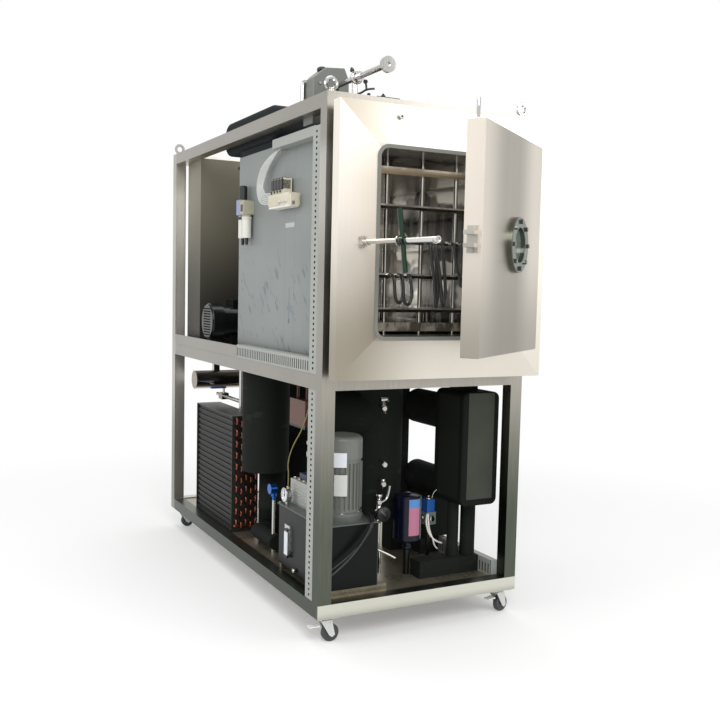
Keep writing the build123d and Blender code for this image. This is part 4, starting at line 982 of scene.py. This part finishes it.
def makeValves():
    # chrome fittings beside the vessel, the filter's labels and the solenoid's leads
    c = charge
    chrome = Piece("chargeFittings", "machine", "polished_stainless", "polished", "blackPlastic")
    for x, y, z, tall in c["fittings"]:
        outline = ((6, 0), (6, tall * 0.35), (10, tall * 0.4), (10, tall * 0.7), (6, tall * 0.75),
                   (6, tall), (3.5, tall + 2))
        chrome.turned((x, y, z - tall / 2), upward, outline, 0, 18)
        chrome.nut((x - 4, y - 14, z), toBack, 17, 12, 0)
        chrome.run(((x, y, z), (x + 3, y + 22, z), (x + 12, y + 60, z + 4)), 5, 0)
    chrome.turned(*c["cross"], 0, 18)
    # shut-off valve with its hand wheel above the tank's corner
    chrome.turned(*c["valve"], 0, 24)
    chrome.turned(*c["wheel"], 1, 28)
    chrome.run(c["drop"], 7, 0)
    chrome.run(c["branch"], 5, 0)
    chrome.run(c["rod"], 5, 0)
    chrome.nut(c["rodNut"], (1, -0.1, -0.5), 15, 10, 0)
    chrome.made()
    f = filterCan
    can = Piece("filterLabels", "machine", "gloss_black", "labelBlue", "labelPink", "canBlue")
    for low, high, look in f["labels"]:
        rows = [can.arc(f["axis"], f["radius"], f["first"], f["last"], f["steps"], z) for z in (low, high)]
        for i in range(f["steps"]):
            face = can.form.faces.new((rows[0][i], rows[0][i + 1], rows[1][i + 1], rows[1][i]))
            face.material_index = look
            face.smooth = True
    can.turned((*f["axis"], f["top"]), upward, f["topOutline"], 2)
    can.turned((*f["axis"], f["foot"]), downward, f["footOutline"], 2)
    can.made()
    wire = Piece("solenoidWires", "machine", "white_plastic", "whitePlastic", "polished")
    for path, radius, look in solenoid["leads"]:
        wire.run(path, radius, look)
    wire.turned(*solenoid["stem"], 1, 20)
    wire.nut(solenoid["frontNut"], toFront, 22, 9, 1)
    wire.nut(solenoid["sideNut"], toLeft, 22, 9, 1)
    wire.made()
    # brackets on the rear column
    k = columnBrackets
    rest = Piece("columnBrackets", "machine", "dark_steel", "darkCoat", "polished")
    for z in k["heights"]:
        rest.block((*k["low"], z), (*k["high"], z + k["thick"]), 2, 0)
        rest.nut((k["low"][0] + 4, k["low"][1], z + k["thick"] / 2), toFront, 12, 7, 1)
    rest.made()
    print("valves made")


makeValves()

manifold = {
    "ribs": 9, "firstRib": 430, "ribStep": 12, "ports": 6, "firstPort": 362, "portStep": 13,
    "coils": 4, "firstCoil": 409, "coilStep": 28, "portOutline": ((5.4, 0), (5.4, 4), (4.4, 5), (4.2, 8)),
    "buttonOutline": ((4.2, 0), (4.2, 3), (3, 4)),
    "end": ((18, 336, 1424), (52, 346, 1470)), "plug": ((22, 330, 1432), (34, 338, 1444)),
    "rail": ((14, 345, 1424), (56, 535, 1431)),
}
airTubes = {"count": 6, "step": 7.5, "radius": 3.6}
airUnit = {
    "inlet": ((39, 905, 1452), toBack, ((12, 0), (14, 2), (14, 12), (10, 13), (10, 22), (7, 23))),
    "window": ((15.4, 824, 1436), (17.6, 850, 1466)), "windowRim": ((15.8, 822, 1432), (16.8, 852, 1470)),
    "bowls": ((836.5, 3), (881.5, 1)), "x": 39, "collarHeight": 1406, "drainHeight": 1312,
    "collar": ((20, 0), (21, 1), (21, 9), (20, 10)), "drain": ((4, -10), (6, -8), (6, -1), (8, 0)),
    "knobTop": (39, 881.5, 1540), "knobOutline": ((16.4, 0), (15, 5), (8, 7)),
    "joint": ((18, 856, 1456), (60, 864, 1462)),
}
panelStud = {"start": (66, 988, 1632), "outline": ((4, 0), (4, 22), (3, 24)), "nuts": ((990, 7), (1002, 6))}


def makePneumatics():
    v = manifold
    m = Piece("manifoldTrim", "machine", "cream_plastic",
              "creamPlastic", "blackPlastic", "whitePlastic", "polished")
    # ribbed port plate, push-in ports and the valves' black coils
    for k in range(v["ribs"]):
        y = v["firstRib"] + k * v["ribStep"]
        m.block((11, y, 1434), (16, y + 5, 1472), 0.8, 0)
    for k in range(v["ports"]):
        m.turned((15, v["firstPort"] + k * v["portStep"], 1446), toLeft, v["portOutline"], 3 if k % 2 else 0, 16)
    for k in range(v["coils"]):
        y = v["firstCoil"] + k * v["coilStep"]
        m.block((14, y, 1492), (52, y + 24, 1530), 2.5, 1)
        m.block((20, y + 4, 1528), (46, y + 20, 1537), 2, 1)
        m.turned((14, y + 12, 1484), toLeft, v["buttonOutline"], 1, 14)
    m.block(*v["end"], 2, 0)
    m.block(*v["plug"], 1.5, 3)
    m.block(*v["rail"], 1.5, 2)
    m.made()
    # a flat bunch of tubes that rises from the ports and bends forward
    tubes = Piece("airTubes", "machine", "white_plastic", "tubeClear")
    for k in range(airTubes["count"]):
        s = k * airTubes["step"]
        tubes.run(((26, 540 - s * 0.2, 1448 + s), (20, 590, 1446 + s), (20 + k, 650 - s, 1462 + s),
                   (24 + k, 690 - s * 1.2, 1520), (28 + k * 2, 664 - s * 1.4, 1590), (34 + k, 590 - s * 1.2, 1628),
                   (40, 520 - s, 1646 + k * 2), (48, 484 - s, 1660)), airTubes["radius"], 0, 3)
    tubes.made()
    u = airUnit
    a = Piece("airTrim", "machine", "air_unit_plastic", "tealPlastic", "blackPlastic", "polished", "creamPlastic")
    a.turned(*u["inlet"], 0, 24)
    a.block(*u["window"], 1, 1)
    a.block(*u["windowRim"], 0.6, 2)
    for y, look in u["bowls"]:
        a.turned((u["x"], y, u["collarHeight"]), upward, u["collar"], look, 28)
        a.turned((u["x"], y, u["drainHeight"]), upward, u["drain"], 1, 18)
    a.turned(u["knobTop"], upward, u["knobOutline"], 1, 28)
    a.block(*u["joint"], 1, 1)
    a.made()
    x, y, z = panelStud["start"]
    stud = Piece("panelStud", "machine", "zinc", "blackPlastic", "polished")
    stud.turned((x, y, z), toBack, panelStud["outline"], 1, 14)
    for y, thick in panelStud["nuts"]:
        stud.nut((x, y, z), toBack, 14, thick, 0)
    stud.made()
    print("pneumatics made")


makePneumatics()

latch = {
    "pivot": (82, -127, 1280), "inward": 2, "sag": 1,  # the bolt's lean at rest, in degrees
    "nut": 16, "nutSize": (19, 11),
    # distance from the pivot, outline and look of each ring on the handle
    "rings": ((225.5, ((12.6, 0), (14.4, 1), (14.4, 5), (12.6, 6)), 0),
              (255, ((9.6, -1), (10.8, 0), (10.8, 5), (9.6, 6)), 0),
              (404, ((9.6, -1), (10.9, 0), (10.9, 3), (9.6, 4)), 1)),
}


def makeLatchTrim():
    # the nut at the bolt's root, and rings on the handle that runs along it
    inward, sag = math.radians(latch["inward"]), math.radians(latch["sag"])
    turn = Vector((math.sin(inward), -math.cos(inward), -math.sin(sag)))

    def along(far):
        return tuple(Vector(latch["pivot"]) + turn * far)

    root = Piece("boltNut", "bolt_swing", "polished_stainless", "polished")
    root.nut(along(latch["nut"]), turn, *latch["nutSize"])
    root.made()
    ring = Piece("handleRings", "bolt_handle", "handle_green", "blackPlastic", "polished")
    for far, outline, look in latch["rings"]:
        ring.turned(along(far), turn, outline, look, 28)
    ring.made()
    print("latch trim made")


makeLatchTrim()

roof = {
    "clamp": ((112, 4, 1830), toBack, ((17, 1), (21, 2), (22, 4), (22, 12), (21, 14), (17, 15))),
    "wing": ((94, 8, 1846), (-0.4, 0, 1), ((5, 0), (7, 1), (7, 9), (4, 10), (4, 14))),
    "screw": ((124, -22, 1816), (126, -30, 1806), (126, -32, 1786)), "screwNut": (124, -24, 1812),
    "ferrule": ((112, -193, 1830), toFront, ((22, 0), (23.5, 1), (23.5, 5), (22, 6))),
    "tube": ((27, 262, 1772), (27, 262, 1812), (27, 262, 1852), (44, 252, 1856), (64, 244, 1850)),
    "tubeFoot": ((27, 262, 1775), upward, ((13, 0), (13, 6), (9, 8))),
    "hose": ((150, 150, 1765), (158, 100, 1800), (150, 60, 1790), (168, 40, 1806), (190, 30, 1806)),
    "post": ((168, 30, 1775), upward, ((9, 0), (9, 4), (6, 5), (6, 12), (4, 14))),
    "strip": ((196, 22, 1775), (286, 40, 1783)),
    "knob": ((224, 31, 1782), upward, ((8, 0), (8, 5), (4, 7), (4, 11))),
}
roofValve = {
    "outline": ((35, 1699), (35, 1856), (84, 1896), (156, 1902), (174, 1862), (176, 1699)),
    "front": 192, "back": 272, "edge": 3,
    "knob": ((88, 236, 1896), upward, ((17, -6), (18, 2), (15, 7), (10, 10), (4, 11))),
    "screws": ((60, 1840), (150, 1846), (60, 1790), (150, 1790)),
    "boss": ((112, 192, 1812), toFront, ((26, 0), (26, 6), (22, 8))),
}
doorTop = {
    "pin": ((262, -484, 1633), upward, ((9, 0), (9, 4), (6, 6), (6, 62), (5, 65))), "nut": (262, -484, 1634),
    "plug": ((420, -380, 1633), upward, ((7, 0), (7, 3), (4, 5))),
}
platePlug = {
    "place": (219, -109, 1696), "rim": ((9, 0), (9, 1.2), (7, 2), (4.2, 1.2)), "middle": ((4.2, 0), (4.0, 1.6)),
}


def makeRoof():
    r = roof
    piece = Piece("roofTrim", "machine", "polished_stainless", "polished", "darkCoat")
    # clamp with its wing nut round the pipe joint, and the open ferrule's rim
    piece.turned(*r["clamp"], 0, 32)
    piece.turned(*r["wing"], 1, 16)
    piece.run(r["screw"], 3.5, 1)
    piece.nut(r["screwNut"], (0, -1, -0.3), 13, 8, 1)
    piece.turned(*r["ferrule"], 0, 32)
    # bent tube that joins the valve body, and a small hose beyond it
    piece.run(r["tube"], 8, 0)
    piece.turned(*r["tubeFoot"], 0, 20)
    piece.run(r["hose"], 3.5, 1)
    # fittings along the front of the roof
    piece.turned(*r["post"], 1, 20)
    piece.block(*r["strip"], 2, 1)
    piece.turned(*r["knob"], 1, 18)
    piece.made()
    print("roof trim made")


def makeRoofValve():
    v = roofValve
    valve = Piece("roofValve", "machine", "motor_grey", "motorGrey", "blackPlastic", "polished")
    valve.slab(v["outline"], v["front"], v["back"], v["edge"])
    valve.turned(*v["knob"], 1, 28)
    for x, z in v["screws"]:
        valve.nut((x, v["front"] - 1, z), toFront, 9, 5, 2)
    valve.turned(*v["boss"], 0, 32)
    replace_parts(valve.made(), "roof_actuator")
    print("roof valve made")


def makeDoorTrim():
    door = Piece("doorTopPin", "door_leaf", "polished_stainless", "polished", "darkCoat")
    door.turned(*doorTop["pin"], 0, 24)
    door.nut(doorTop["nut"], upward, 18, 6, 0)
    door.turned(*doorTop["plug"], 1, 18)
    door.made()
    plug = Piece("platePlug", "machine", "plate_stainless", "polished", "darkCoat")
    plug.turned(platePlug["place"], toFront, platePlug["rim"], 0, 28)
    plug.turned(platePlug["place"], toFront, platePlug["middle"], 1, 24)
    plug.made()
    print("door trim made")


makeRoof()
makeRoofValve()
makeDoorTrim()

lagging = {
    "start": (112, 640, 92), "length": 220.0, "radius": 30.0, "rings": 12, "joint": 1.2,
    "riser": ((205, 925, 46), upward, ((58, 0), (58, 120), (59.5, 121), (59.5, 150), (58, 151), (58, 330))),
    "elbow": ((205, 925, 100), (190, 900, 92), (150, 880, 92), (112, 850, 92)), "elbowRadius": 29,
}


def makeLagging():
    # lagged pipe on the floor behind the tank, and the lagged outlet below the side vessel
    g = lagging
    pipe = Piece("laggedPipe", "machine", "black_foam", "blackFoam")
    outline = []
    for k in range(g["rings"]):
        swell = g["joint"] if k % 3 == 0 else 0
        outline.append((g["radius"] + swell, g["length"] * k / (g["rings"] - 1)))
    pipe.turned(g["start"], toBack, outline, 0)
    pipe.made()
    riser = Piece("laggedOutlet", "machine", "black_foam", "blackFoam")
    riser.turned(*g["riser"], 0, 40)
    riser.run(g["elbow"], g["elbowRadius"], 0, 6)
    riser.made()
    print("lagging made")


makeLagging()
